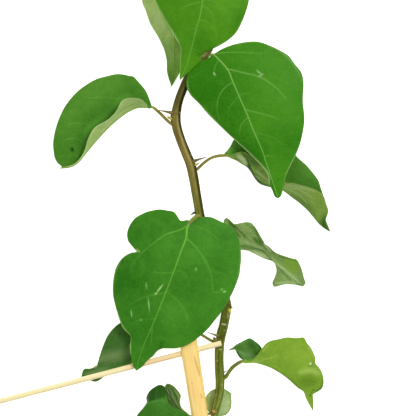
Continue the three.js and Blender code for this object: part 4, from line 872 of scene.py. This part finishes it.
        "petioleRadius": 0.5, "midribWidth": 0.3, "veins": [0.1, 0.3, 0.5], "sideShow": 0.12,
        "midribShow": (0.3, 0.2),
        "topLight": [(1.8, 0.6, [(19, -86), (23, -88.4), (28, -89)]), (0.5, 0.6, [(19.5, -86), (24, -89)]),
            (0.7, 0.9, [(12.6, -85.8), (15, -84)])],
        "topDark": [(2.4, 0.8, [(24, -80.6), (27, -82.5), (28, -84.5)]),
            (0.6, 0.9, [(25.5, -79), (29, -81.2), (32, -85), (29.5, -88.6)]),
            (0.6, 0.9, [(17.4, -85.6), (18.2, -88.2), (20.4, -90.6)])],
    },
    "curledBottomLeaf": {
        "node": "leaf_curled_bottom", "slot": "upper_leaf",
        "look": {"topLight": rgb(68, 130, 34), "topDark": rgb(44, 100, 22), "underLight": rgb(92, 128, 62),
            "underDark": rgb(54, 90, 34), "darkMark": rgb(36, 78, 18), "underVein": rgb(156, 176, 120),
            "underDarkMark": rgb(44, 74, 24), "underVeinShow": 0.2},
        "petiole": [[4.2, -122.8, 5.2], [2.3, -123.4, 4.2], [0.6, -123.9, 3], [-2.5, -123.8, 1.5],
            [-6.5, -124.5, 1]],
        "base": [-11, -125.5, 1.5], "tip": [-35, -146.5, 8],
        "left": [[-21.5, -122.5, 2.5], [-30.5, -120, 4], [-35, -116.8, 6], [-37, -114.4, 9],
            [-36.6, -117.8, 12], [-38.2, -119.5, 13], [-41, -122.3, 13.5], [-42.6, -124.4, 13.5],
            [-45.2, -130, 13], [-42.5, -139, 11]],
        "midrib": [[-18, -119.5, 4], [-23, -112.2, 6.5], [-26.8, -106.9, 8.5], [-30.2, -106.6, 11],
            [-31.5, -110.5, 14], [-30.5, -116.5, 15.5], [-30, -124, 16], [-32, -136, 13]],
        "right": [[-13.2, -123, 1.6], [-15.6, -121.2, 1.8], [-17, -118.4, 2.2], [-16.8, -115, 2.8],
            [-16.4, -112.8, 3.8], [-18.5, -109.4, 5.5], [-21, -106.8, 7.5], [-24.4, -105.4, 9.5],
            [-25.9, -107.2, 11.5], [-25.2, -110.6, 13], [-24.8, -114, 14], [-23.9, -116.6, 14.5],
            [-21.8, -118.6, 15], [-17.8, -120.9, 15], [-13.6, -123, 14.8], [-10, -124.9, 14.5],
            [-9.4, -129, 13.5], [-18, -139, 11]],
        "petioleRadius": 0.72, "bulge": (1.4, -0.4), "waves": (0, 0, 0), "sideShow": 0.08,
        "midribShow": (0.08, 0.05),
        # A sharp-edged painted shade on the back lobe, which slopes away from the light, and thin painted
        # light along the front's edge
        "topDark": [(4.6, 0.9, [(-37, -113), (-32, -110.6), (-26.5, -110.2)], 14)],
        "topLight": [(0.45, 0.15, [(-25.1, -111), (-24.8, -114), (-23.9, -116.4), (-22, -118.3),
            (-18, -120.7), (-15.6, -121.6)]),
            (0.4, 0.12, [(-40, -122), (-36.8, -118), (-31.8, -115.8), (-25.4, -115.5)])],
        "underLight":
            [(0.45, 0.75, [(-24.4, -108.2), (-24, -111), (-23, -114.4), (-21, -117.4), (-18.4, -120.2)]),
            (0.4, 0.65, [(-20.4, -109.2), (-18.6, -111.8), (-17.6, -114.2), (-17.2, -118)]),
            (0.35, 0.4, [(-23, -108.6), (-21, -113), (-18.2, -118.6)])],
        "underDark": [(0.6, 0.5, [(-23.2, -115.6), (-20.6, -118.4), (-17.6, -120.8)]),
            (0.5, 0.5, [(-22, -108.4), (-19.8, -112.4), (-18, -117)])],
    },
    "smallRoundLeaf": {
        "node": "leaf_small_round", "slot": "lower_leaf",
        "look": {"underLight": rgb(192, 210, 148), "underDark": rgb(116, 160, 62),
            "underVein": rgb(214, 226, 178), "underRim": rgb(112, 144, 68), "rimShow": 0.75,
            "underDarkMark": rgb(104, 140, 60)},
        "petiole": [[4.3, -121.5, 4.6], [2.8, -122, 3.2], [1.8, -122.8, 2.4]], "base": [1, -123.5, 1.5],
        "tip": [14.4, -112, 0],
        "left": [[-1, -120.5, 0.8], [-1.6, -116.8, 0.5], [-1.2, -113.7, 0.5], [0.9, -110.8, 0.5],
            [3.8, -109.3, 0.5], [7, -108.9, 0], [9.6, -108.9, 0], [12.1, -110.3, 0]],
        "midrib": [[4, -120, 1], [8, -116.5, 0.5], [11.5, -113.5, 0]],
        "right": [[3.5, -125.8, 1], [7.5, -125.5, 0.5], [11.1, -124.5, 0], [13.2, -122.2, 0],
            [14.1, -118.8, 0], [14.2, -115.6, 0], [13.8, -113.4, 0]],
        "petioleRadius": 0.55, "midribWidth": 0.3, "veins": [0.1, 0.3, 0.5],
        # Painted light and shade in spots, lifting the shadow of the stem beside it
        "paintedLightAndShade": [(11, -118, 5, 0.8), (0, -115, 3, -0.5), (3, -120, 3, 0.3), (3.4, -112, 3, 0.9)],
        "underDark": [(0.55, 0.6, [(9, -109.3), (12, -110.7), (13.6, -113.4), (13.9, -118), (12.8, -122)])],
    },
}

for name, leaf in leaves.items():
    makeLeaf(name, leaf)

stem = {
    "stations": [   # x, y, height, radius from the lower cut end to the upper one
        [3.8, -130, 6, 2.2], [3.7, -125, 5.8, 2.3], [4.8, -120, 5.5, 2.45], [6.6, -112.5, 5.1, 2.6],
        [7.2, -105, 4.4, 2.65], [6.9, -98, 3.5, 2.7], [6.7, -90, 3, 2.6], [6.9, -84.5, 2.8, 2.7],
        [7.4, -80, 2.7, 2.65], [8.2, -75.5, 3.3, 2.85], [9.4, -71, 3.8, 2.75], [10.7, -64, 4.4, 2.8],
        [11.4, -59, 4.6, 2.85], [8, -47.5, 5.7, 2.75], [3.5, -32.5, 7, 2.75], [-1, -17, 8.2, 2.75],
        [-4.6, -5, 9, 2.75], [-6.5, 5.5, 9.8, 2.75], [-8.8, 19, 11, 2.9], [-10.4, 26, 11.6, 2.95],
        [-13.2, 33, 12, 2.85], [-16, 40, 12.6, 2.8], [-18.6, 48, 13.1, 2.9], [-19.4, 54.5, 13.5, 3],
        [-18.6, 60, 13.9, 2.7], [-17.35, 65, 14.3, 2.55], [-15.1, 71, 14.8, 2.55], [-12, 78, 15.3, 2.5],
        [-7, 85, 15.8, 2.5], [-2, 91.5, 16.2, 2.75], [2, 99.5, 16.7, 2.4], [3.5, 110, 17.3, 2.3],
        [3.5, 122, 18, 2.2], [1, 135.5, 18.6, 2.1], [-1, 150, 19, 2.05]],
    "steps": 700, "sides": 48,
    "ribs": 5, "ribHeight": 0.045, "ribTurn": 9,   # height as a share of the radius, turn in radians
    "ribsFade": (0.25, 0.45),    # shares of the way up between which ribs give way to furrows
    "furrows": 13, "furrowHeight": 0.02, "furrowTurn": 5, "furrowSway": (3, 40),
    "mapLength": 300,            # mm of stem to the height of its UV map
    "lumps": [                   # x, y, height, radius and rise of leaf scars and swellings
        [-4.2, 90.6, 18, 1.1, 0.7], [-2.4, 93.4, 18.6, 1.2, 0.6], [0.4, 92.2, 18.6, 1.1, 0.6],
        [1.6, 95.6, 18.4, 1.2, 0.5], [-21.6, 54, 14.5, 1.6, 0.5], [-8.2, 25.4, 13.6, 1.5, 0.5],
        [5.8, -77.6, 5.2, 1.3, 0.5], [9.4, -76, 5.4, 1.4, 0.4], [12.6, -59.4, 6.6, 1.4, 0.5],
        [4.8, -122.4, 7.2, 1.4, 0.5], [-5.8, -5, 11, 1.4, 0.4]],
    "patches": [                 # pale cork, as radius, amount and a line seen from above
        (0.55, 0.9, [(8, -69.6), (11, -70.3)], 4), (0.5, 0.7, [(6.6, -85), (8.4, -85.3)]),
        (0.6, 0.5, [(12.4, -62), (12, -66)]), (1.0, 0.3, [(-4, 90.4), (-1, 93.4), (2.6, 96.4)]),
        (0.4, 0.5, [(5.4, -92), (6.2, -91.6)]), (0.4, 0.5, [(8, -106), (8.6, -106.6)])],
    "scars": [                   # dark scars, given the same way
        (0.6, 0.7, [(-5.2, 91.4), (-3.6, 92.8)]), (0.5, 0.7, [(-3.4, 89), (-2, 90)]),
        (0.5, 0.8, [(-0.6, 93.6), (0.8, 95)]), (0.5, 0.7, [(2.6, 94.2), (3.6, 96)]),
        (0.6, 0.6, [(5, -77.6), (9.6, -77.8)]), (0.6, 0.7, [(10.4, -58.4), (13.6, -58.2)]),
        (0.5, 0.5, [(-21.6, 56.4), (-17.4, 56.6)]), (0.5, 0.7, [(5.4, -120.6), (5.8, -122.4)]),
        (0.6, 0.9, [(2.4, -120.6), (2.8, -123.4), (5, -123.6)])],
}


# The stem's radius swells and sinks in ribs that turn slowly as they climb: rib height times
# cos(ribs times angle + turn times climb), climb being the share of the way up. Further up are fine
# furrows: furrow height times sin(furrows times angle + turn times climb + sway), where the sway is
# its height times the sine of its rate times climb. A lump moves the bark outwards by its rise
# times exp(-(d / radius)^2).
def makeStem():
    path = smoothCurve(stem["stations"], np.linspace(0, 1, stem["steps"]))
    rings, angle = tubeRings(path, stem["sides"])
    climb = np.linspace(0, 1, stem["steps"])[:, None]
    low, high = stem["ribsFade"]
    lower = np.clip((high - climb) / (high - low), 0, 1)
    rib = np.cos(stem["ribs"] * angle + stem["ribTurn"] * climb)
    sway = stem["furrowSway"][0] * np.sin(stem["furrowSway"][1] * climb)
    furrow = np.sin(stem["furrows"] * angle + sway + stem["furrowTurn"] * climb)
    swell = 1 + stem["ribHeight"] * lower * rib + stem["furrowHeight"] * (1 - lower) * furrow
    centre = path[:, None, :3]
    rings = centre + (rings - centre) * swell[..., None]
    outwards = unit(rings - centre)
    for *spot, radius, rise in stem["lumps"]:
        far = ((rings - spot) ** 2).sum(-1) / radius**2
        rings = rings + outwards * (rise * np.exp(-far))[..., None]
    upper = (outwards[..., 2] > 0).ravel()
    forward = unit(np.gradient(path[:, :2], axis=0))
    x, y = np.moveaxis(rings[..., :2] - centre[..., :2], -1, 0)
    sideways = (x * forward[:, 1:] - y * forward[:, :1]) / path[:, 3:]
    fields = {"climb": withEnds(np.ones_like(sideways) * climb, [0, 1]), "sideways": withEnds(sideways),
              "hollowShade": withEnds(lower * (0.5 - 0.5 * rib))}
    for label, key in (("patch", "patches"), ("scar", "scars")):
        fields[label] = withEnds(markField(rings.reshape(-1, 3), stem[key]) * upper)
    flat = flatPlaces(angle / (2 * np.pi), runLength(path)[:, None] / stem["mapLength"], [[0, 0], [0, 1]])
    return joined("mainStem", closedSkin("mainStem", rings, path[[0, -1], :3], fields, flat))


# Colours and amounts of the bark by the share of the way up; the shade colours are painted shade
bark = {
    "light": [(0.0, rgb(164, 178, 88)), (0.08, rgb(146, 160, 68)), (0.14, rgb(132, 146, 54)),
        (0.24, rgb(128, 138, 52)), (0.3, rgb(112, 112, 40)), (0.44, rgb(148, 146, 72)),
        (0.58, rgb(156, 140, 70)), (0.65, rgb(156, 144, 72)), (0.675, rgb(112, 106, 54)),
        (0.755, rgb(104, 98, 52)), (0.775, rgb(146, 152, 84))],
    "dark": [(0.0, rgb(96, 112, 32)), (0.08, rgb(86, 100, 24)), (0.14, rgb(76, 90, 16)),
        (0.24, rgb(74, 84, 14)), (0.3, rgb(62, 62, 14)), (0.44, rgb(100, 98, 34)),
        (0.58, rgb(104, 90, 32)), (0.65, rgb(106, 96, 40)), (0.675, rgb(72, 66, 24)),
        (0.755, rgb(66, 60, 22)), (0.775, rgb(104, 114, 46))],
    "shade": [(0.0, rgb(46, 60, 0)), (0.44, rgb(60, 58, 4)), (0.66, rgb(36, 36, 0)),
        (0.74, rgb(22, 18, 0)), (0.775, rgb(76, 82, 24))],
    # how much the painted highlight shows
    "highlightShow": [(0.0, 0.4), (0.1, 0.15), (0.44, 0.1), (0.52, 0.3), (0.56, 0.75), (0.63, 0.75),
        (0.655, 0.25), (0.68, 0.05)],
    "rightReach": [(0.4, 0.12), (0.5, 0.2), (0.54, 0.1), (0.6, 0.0), (0.65, 0.06), (0.675, 0.28),
        (0.7, 0.28)],           # how far the painted shade of the right edge reaches inwards
    "highlightPlace": (0.12, 0.34),   # how far right of the middle the painted highlight runs, low and high up
    # how narrow the painted highlight is, and the brown it takes further up
    "highlightNarrow": 3.2, "highlightBrown": rgb(176, 160, 104),
    "cork": (rgb(168, 150, 100), rgb(224, 216, 174)), "scar": rgb(78, 52, 26), "spot": rgb(180, 172, 122),
    "streakSize": (9, 12, 1), "roughness": (0.5, 0.68), "specular": 0.05,
}


# Streaks run along the stem; painted shade darkens its right edge most and its left edge less, and a
# painted highlight runs beside it, which shows 1 minus its narrowing times the distance from it.
# Clouds and fine grain darken the bark, and painted shade darkens the hollows between its ribs.
def stemMaterial():
    n = Nodes("stemBark", bark["specular"])
    climb, sideways = n.field("climb"), n.field("sideways")
    streak = n.noise(1.6, 5, 0.6, where=n.flat(bark["streakSize"]))
    fine = n.noise(900)
    light, dark, shade = [n.ramp(climb, bark[key]) for key in ("light", "dark", "shade")]
    color = n.mix(n.band(streak, 0.35, 0.65), dark, light)
    color = n.mix(n.band(n.noise(90), 0.5, 0.75, 0.0, 0.4), color, dark)
    color = n.mix(n.band(fine, 0.45, 0.65, 0.0, 0.3), color, dark)
    # A painted highlight along the stem, right of its middle
    aside = n.math("SUBTRACT", sideways, n.band(climb, 0.54, 0.64, *bark["highlightPlace"]))
    near = n.math("SUBTRACT", 1.0, n.math("ABSOLUTE", n.times(aside, bark["highlightNarrow"])), clamp=True)
    highlightColor = n.mix(n.band(climb, 0.46, 0.54), light, bark["highlightBrown"])
    color = n.mix(n.times(near, n.ramp(climb, bark["highlightShow"])), color, highlightColor)
    # Painted shade along the right edge, reaching in as far as the ramp gives
    turned = n.total(sideways, n.ramp(climb, bark["rightReach"]))
    right = n.times(n.band(turned, 0.4, 0.75, 0.0, 0.95), n.band(climb, 0.3, 0.44, 0.12, 1.0))
    color = n.mix(right, color, shade)
    # Painted shade along the left edge
    color = n.mix(n.band(sideways, -0.66, -0.95, 0.0, 0.55), color, shade)
    # Painted shade in the hollows between the lower ribs
    color = n.mix(n.times(n.field("hollowShade"), 0.5), color, shade)
    color = n.mix(n.field("patch"), color, n.mix(streak, *bark["cork"]))
    color = n.mix(n.field("scar"), color, bark["scar"])
    spots = n.add("TexVoronoi", {"Vector": n.place(), "Scale": 150.0}).outputs["Distance"]
    spot = n.band(spots, 0.08, 0.13, 1.0, 0.0)
    color = n.mix(n.times(spot, 0.4), color, bark["spot"])
    height = n.total(n.times(streak, 1.2), n.times(fine, 0.4), n.times(spot, 0.5))
    return n.shade(Base_Color=color, Roughness=n.band(streak, 0.3, 0.7, *bark["roughness"]),
                   Normal=n.bump(height, 0.6, 0.0002))


place(makeStem(), "main_stem", stemMaterial())
print("stem made")


def barbMaterial(name, light, dark, tip):
    n = Nodes(name, 0.25)
    color = n.mix(n.band(n.noise(700), 0.35, 0.65), dark, light)
    color = n.mix(n.band(n.field("along"), 0.55, 1.0), color, tip)
    return n.shade(Base_Color=color, Roughness=n.swing(n.noise(400, 2), 0.1, 0.45),
                   Normal=n.bump(n.noise(1500), 0.4, 0.0001))


# Node, path from inside the stem to the point, root radius, and the name of its look
barbs = {
    "firstThorn": ("thorn_first", [[8, -99.6, 4], [10, -98.7, 4.6], [11.9, -97.5, 5]], 0.6, "olive"),
    "secondThorn": ("thorn_second", [[7, -77.2, 4.5], [3.8, -76.2, 5.6], [-1.2, -74.4, 6.4]], 0.75, "olive"),
    "brokenThorn": ("thorn_stub", [[11.5, -58.5, 6], [13.3, -59.2, 7], [15.1, -60, 7.8]], 0.9, "dark"),
    "fourthThorn": ("thorn_fourth", [[-6, -2.6, 9.6], [-8.4, -2.9, 10.4], [-10.4, -4.3, 10.8]], 1.15, "dark"),
    "fifthThorn": ("thorn_fifth", [[-9.8, 27.5, 12.5], [-5.7, 29.1, 13.6], [-0.8, 30.6, 14.2]],
                   1.08, "thorn"),
    "sixthThorn": ("thorn_sixth", [[-20, 56.5, 14.5], [-24.2, 57.6, 15.8], [-29.4, 58.6, 16.6]],
                   1.12, "thorn"),
    "seventhThorn": ("thorn_seventh", [[-0.5, 92.8, 17], [1.8, 94.2, 18.2], [3.6, 96, 18.8]], 0.75, "olive"),
    "firstBud": ("bud_first", [[3.9, -122.2, 6.5], [3.3, -122.3, 8], [3.3, -121, 8.8]], 1.2, "paleBud"),
    "secondBud": ("bud_second", [[5.6, -79.3, 4.2], [3.9, -79.1, 5.6], [3.5, -77.6, 6.3]], 1.05, "olive"),
    "thirdBud": ("bud_third", [[11.8, -60.5, 5.5], [13, -61.6, 6.9], [13, -64, 7]], 1.2, "greenBud"),
    "fourthBud": ("bud_fourth", [[-9, 25.6, 13], [-6.7, 26.2, 13.8], [-5.4, 27, 14]], 0.85, "greenBud"),
    "fifthBud": ("bud_fifth", [[-20.5, 53.4, 14.5], [-23, 53.9, 15.4], [-24.4, 55, 15.9]], 0.9, "greenBud"),
    "sixthBud": ("bud_sixth", [[-3.5, 91.5, 17], [-3.4, 90.3, 19], [-3.9, 89.5, 19.8]], 0.8, "olive"),
}
barbLooks = {
    "thorn": barbMaterial("thornBrown", rgb(132, 116, 70), rgb(88, 72, 38), rgb(60, 38, 22)),
    "olive": barbMaterial("thornOlive", rgb(150, 146, 78), rgb(104, 100, 44), rgb(96, 78, 44)),
    "dark": barbMaterial("thornDark", rgb(96, 74, 44), rgb(56, 40, 22), rgb(38, 24, 14)),
    "paleBud": barbMaterial("budTan", rgb(228, 202, 106), rgb(164, 134, 60), rgb(146, 108, 46)),
    "greenBud": barbMaterial("budGreen", rgb(212, 206, 90), rgb(156, 160, 60), rgb(150, 130, 60)),
}
barbShape = {
    "steps": 40, "sides": 20,
    "taper": 0.9, "taperPower": 0.9,         # how far a thorn has thinned at its point, and how evenly
    "flare": 0.5, "flareLength": 0.25,       # what its root adds, over which share of its length
    "close": 0.98,                           # how far a bud has closed at its tip
    "scale": 0.08, "scales": 18,             # step and frequency of its scales
}


# A thorn's radius is (1 - taper t)^power times 1 + flare exp(-(t / length)^2), t being the share
# of the way to the point. A bud's is the square root of 1 - close t squared, with overlapping
# scales as small steps of scale times sin(scales t).
def makeBarb(name, node, points, radius, kind):
    s = barbShape
    t = np.linspace(0, 1, s["steps"])
    if "Bud" in name:
        shape = np.sqrt(np.maximum(1 - s["close"] * t**2, 0)) * (1 + s["scale"] * np.sin(s["scales"] * t))
    else:
        flare = 1 + s["flare"] * np.exp(-(t / s["flareLength"]) ** 2)
        shape = (1 - s["taper"] * t) ** s["taperPower"] * flare
    path = smoothCurve(points, t)
    rings, _ = tubeRings(np.column_stack([path, radius * shape]), s["sides"])
    along = withEnds(np.repeat(t, s["sides"]), [0, 1])
    piece = joined(name, closedSkin(name, rings, path[[0, -1]], {"along": along}))
    place(piece, node, barbLooks[kind])


for name, barb in barbs.items():
    makeBarb(name, *barb)
print("thorns and buds made")

cane = {
    "top": [-12.4, -76.8], "end": [-3.7, -132.0], "topWidth": 10.9, "endWidth": 9.7, "height": 11.0,
    "flatEnd": -106.0,           # y where the flat underside ends and the slanted cut begins
    "endRise": 6.6,
    "outline": [                 # across as a share of the width, and up as a share of the height
        [-0.36, 1], [0.16, 1], [0.34, 0.95], [0.5, 0.72], [0.5, 0.14], [0.42, 0], [-0.42, 0],
        [-0.5, 0.14], [-0.5, 0.88]],
    "perSide": 14, "roundings": 5, "rows": 220,
    "ripples": [(0.006, 7, 9), (0.004, 31, -4)],
    "holeGap": 0.3,              # mm between the rung and its hole
    "tints": [                  # grey-green patches seen from above: radius, amount and line
        (0.9, 0.5, [(-7.7, -90), (-6.4, -95), (-5, -101)]), (0.6, 0.25, [(-6, -88), (-5, -94)])],
    "creaseAndShades": [                 # thin brown lines
        (0.3, 0.6, [(-8.2, -88.4), (-7.8, -91.8), (-6.4, -96), (-4.9, -100.8)]),
        (0.35, 0.6, [(-4.4, -111.4), (-3.6, -114.6)]), (0.3, 0.5, [(-3.8, -86.4), (-4.6, -88)]),
        (0.2, 0.3, [(-9.6, -104), (-7.8, -118)]), (0.3, 0.45, [(-9.9, -105), (-9.2, -105.6)]),
        (0.28, 0.4, [(-9, -109), (-8.6, -109.8)]), (0.2, 0.3, [(-3.4, -100), (-1.6, -112)])],
    "light": rgb(255, 228, 146), "dark": rgb(255, 210, 126), "seam": rgb(250, 196, 116),
    "tint": rgb(206, 184, 112),
}
rung = {
    "left": [-129.6, -117.3, 7.35], "right": [8.0, -81.3, 7.35], "radius": 1.66,
    "steps": 260, "sides": 28,
    "ripples": [(0.02, 6, 3), (0.015, 23, 2)],
    "tints": [(4, 0.9, [(-48, -96), (-31, -91.5), (-14, -87)], 4)],   # peach stretch
    "lowEdgeShade": 0.3,              # how much painted shade browns its lower edge
    "light": rgb(255, 248, 199), "dark": rgb(255, 233, 172), "seam": rgb(255, 230, 178),
    "tint": rgb(255, 220, 170),
}


# Small waves of a surface: the sum of height times sin(a times the share along + b times around)
def ripples(waves, along, around):
    return sum(height * np.sin(a * along + b * around) for height, a, b in waves)


# The cane is its rounded outline carried along a straight line, narrowing towards the lower end;
# below the flat part its underside rises in proportion to the way past it.
def makeCane():
    outline = np.array(cane["outline"])
    t = np.linspace(0, 1, cane["perSide"], endpoint=False)[:, None]
    after = np.roll(outline, -1, axis=0)
    ringPlan = (outline[:, None] * (1 - t) + after[:, None] * t).reshape(-1, 2)
    for _ in range(cane["roundings"]):
        ringPlan = 0.5 * ringPlan + 0.25 * (np.roll(ringPlan, 1, 0) + np.roll(ringPlan, -1, 0))
    side, up = ringPlan.T
    top, end = np.array(cane["top"]), np.array(cane["end"])
    length = np.linalg.norm(end - top)
    along = (end - top) / length
    across = np.array([-along[1], along[0]])
    s = np.linspace(0, 1, cane["rows"])[:, None]
    width = cane["topWidth"] + (cane["endWidth"] - cane["topWidth"]) * s
    sideways = side * width * (1 + ripples(cane["ripples"], s, side))
    xy = (top + along * s * length)[:, None] + across * sideways[..., None]
    floor = np.maximum(0, (cane["flatEnd"] - xy[..., 1]) / (cane["flatEnd"] - end[1])) * cane["endRise"]
    rings = np.dstack([xy, np.maximum(up * cane["height"], floor)])
    ends = [[*top, cane["height"] / 2], [*end, (cane["height"] + cane["endRise"]) / 2]]
    flat = flatPlaces(s * length * mm, sideways * mm, [[0, 0], [length * mm, 0]])
    upper = np.broadcast_to(up > 0.6, sideways.shape).ravel()   # marks show on the upper part only
    marks = {label: withEnds(markField(rings.reshape(-1, 3), cane[label + "s"]) * upper)
             for label in ("tint", "creaseAndShade")}
    piece = joined("bambooCane", closedSkin("bambooCane", rings, ends, marks, flat))
    hole = joined("caneHole", rungTube("caneHole", cane["holeGap"]))
    cut = piece.modifiers.new("hole", "BOOLEAN")
    cut.operation, cut.solver, cut.object = "DIFFERENCE", "EXACT", hole
    bpy.context.view_layer.objects.active = piece
    bpy.ops.object.modifier_apply(modifier="hole")
    bpy.data.objects.remove(hole)
    return piece


# A round stick whose ripples fade out at both ends as a half sine. The tube for the cane's hole is
# wider by extra and has none. Painted shade browns the lower edge as its surface turns to face down
# the picture.
def rungTube(name, extra=0.0):
    t = np.linspace(0, 1, rung["steps"])[:, None]
    left, right = np.array(rung["left"]), np.array(rung["right"])
    centre = left * (1 - t) + right * t
    path = np.column_stack([centre, np.full(len(t), rung["radius"] + extra)])
    rings, angle = tubeRings(path, rung["sides"])
    if not extra:
        wear = 1 + ripples(rung["ripples"], t, angle) * np.sin(np.pi * t)
        rings = centre[:, None] + (rings - centre[:, None]) * wear[..., None]
    length = np.linalg.norm(right - left)
    lowSide = np.array([right[1] - left[1], left[0] - right[0]]) / length
    facing = ((rings - centre[:, None])[..., :2] @ lowSide) / rung["radius"]
    marks = {"tint": withEnds(markField(rings.reshape(-1, 3), rung["tints"])),
             # Painted shade along the lower edge
             "creaseAndShade": withEnds(rung["lowEdgeShade"] * np.clip((facing - 0.3) / 0.6, 0, 1))}
    flat = flatPlaces(t * length * mm, angle * 1.5 * mm, [[0, 0], [length * mm, 0]])
    return closedSkin(name, rings, path[[0, -1], :3], marks, flat)


# Fibres drawn out along the stick between its light and dark colours, with clouds of its seam
# colour, its tints, and brown creases, which on the rung are painted shade along its lower edge
def bambooMaterial(name, look):
    n = Nodes(name, 0.1)
    brown = rgb(176, 126, 62)
    fibre = n.noise(1.0, 5, 0.65, where=n.flat((30, 900, 1)))
    color = n.mix(n.band(fibre, 0.3, 0.7, 0.15, 1.0), look["dark"], look["light"])
    color = n.mix(n.band(n.noise(70), 0.5, 0.75, 0.0, 0.35), color, look["seam"])
    color = n.mix(n.field("tint"), color, look["tint"])
    # Brown creases, and on the rung painted shade along its lower edge
    color = n.mix(n.field("creaseAndShade"), color, brown)
    return n.shade(Base_Color=color, Roughness=n.swing(fibre, 0.09, 0.51),
                   Normal=n.bump(fibre, 0.35, 0.00012))


place(makeCane(), "bamboo_cane", bambooMaterial("caneBamboo", cane))
place(joined("bambooRung", rungTube("bambooRung")), "bamboo_rung",
      bambooMaterial("rungBamboo", rung))
print("bamboo made")

studio = {
    "floorColor": (0.93, 0.93, 0.92, 1), "floorGlow": 0.75, "floorRoughness": 0.9, "floorSize": 20.0,
    "floorDrop": 0.0002, "worldStrength": 0.5,
    "key": {"place": (1.1, 0.8, 2.0), "size": 0.9, "power": 30},
    "fill": {"place": (-1.1, 0.3, 1.8), "size": 1.6, "power": 4},
    "cameraHeight": 3.0, "pictureWidth": 0.2496, "focusHeight": 0.014, "sensor": 36,
}


# A glowing pale floor, an even white surround, two soft lamps aimed at the middle, and a camera
# that looks straight down from far off, its lens as long as the picture's width asks for.
def makeStudio():
    white = (1, 1, 1, 1)
    size = studio["floorSize"]
    corners = [[-size, -size, 0], [size, -size, 0], [size, size, 0], [-size, size, 0]]
    mesh = bpy.data.meshes.new("studioFloor")
    mesh.from_pydata(corners, [], [[0, 1, 2, 3]])
    floor = bpy.data.objects.new("studioFloor", mesh)
    floor.location.z = -studio["floorDrop"]
    bpy.context.collection.objects.link(floor)
    mesh.materials.append(Nodes("paleFloor").shade(
        Base_Color=studio["floorColor"], Roughness=studio["floorRoughness"],
        Emission_Color=white, Emission_Strength=studio["floorGlow"]))
    world = bpy.data.worlds.new("softStudio")
    world.use_nodes = True
    back = world.node_tree.nodes["Background"]
    back.inputs["Color"].default_value = white
    back.inputs["Strength"].default_value = studio["worldStrength"]
    bpy.context.scene.world = world
    for label in ("key", "fill"):
        lamp = studio[label]
        light = bpy.data.lights.new(label, "AREA")
        light.energy, light.size = lamp["power"], lamp["size"]
        holder = bpy.data.objects.new(label, light)
        holder.location = lamp["place"]
        aim = -np.array(lamp["place"])
        holder.rotation_euler = (math.acos(-aim[2] / np.linalg.norm(aim)), 0,
                                 math.atan2(aim[1], aim[0]) - math.pi / 2)
        bpy.context.collection.objects.link(holder)
    lens = bpy.data.cameras.new("camera")
    lens.sensor_width = studio["sensor"]
    lens.lens = studio["sensor"] * studio["cameraHeight"] / studio["pictureWidth"]
    lens.clip_end = 100
    camera = bpy.data.objects.new("camera", lens)
    camera.location = (*(planShift[:2] * mm), studio["cameraHeight"] + studio["focusHeight"])
    bpy.context.collection.objects.link(camera)
    bpy.context.scene.camera = camera
    bpy.context.scene.view_settings.view_transform = "Standard"


makeStudio()
bpy.context.view_layer.update()
print("studio made")
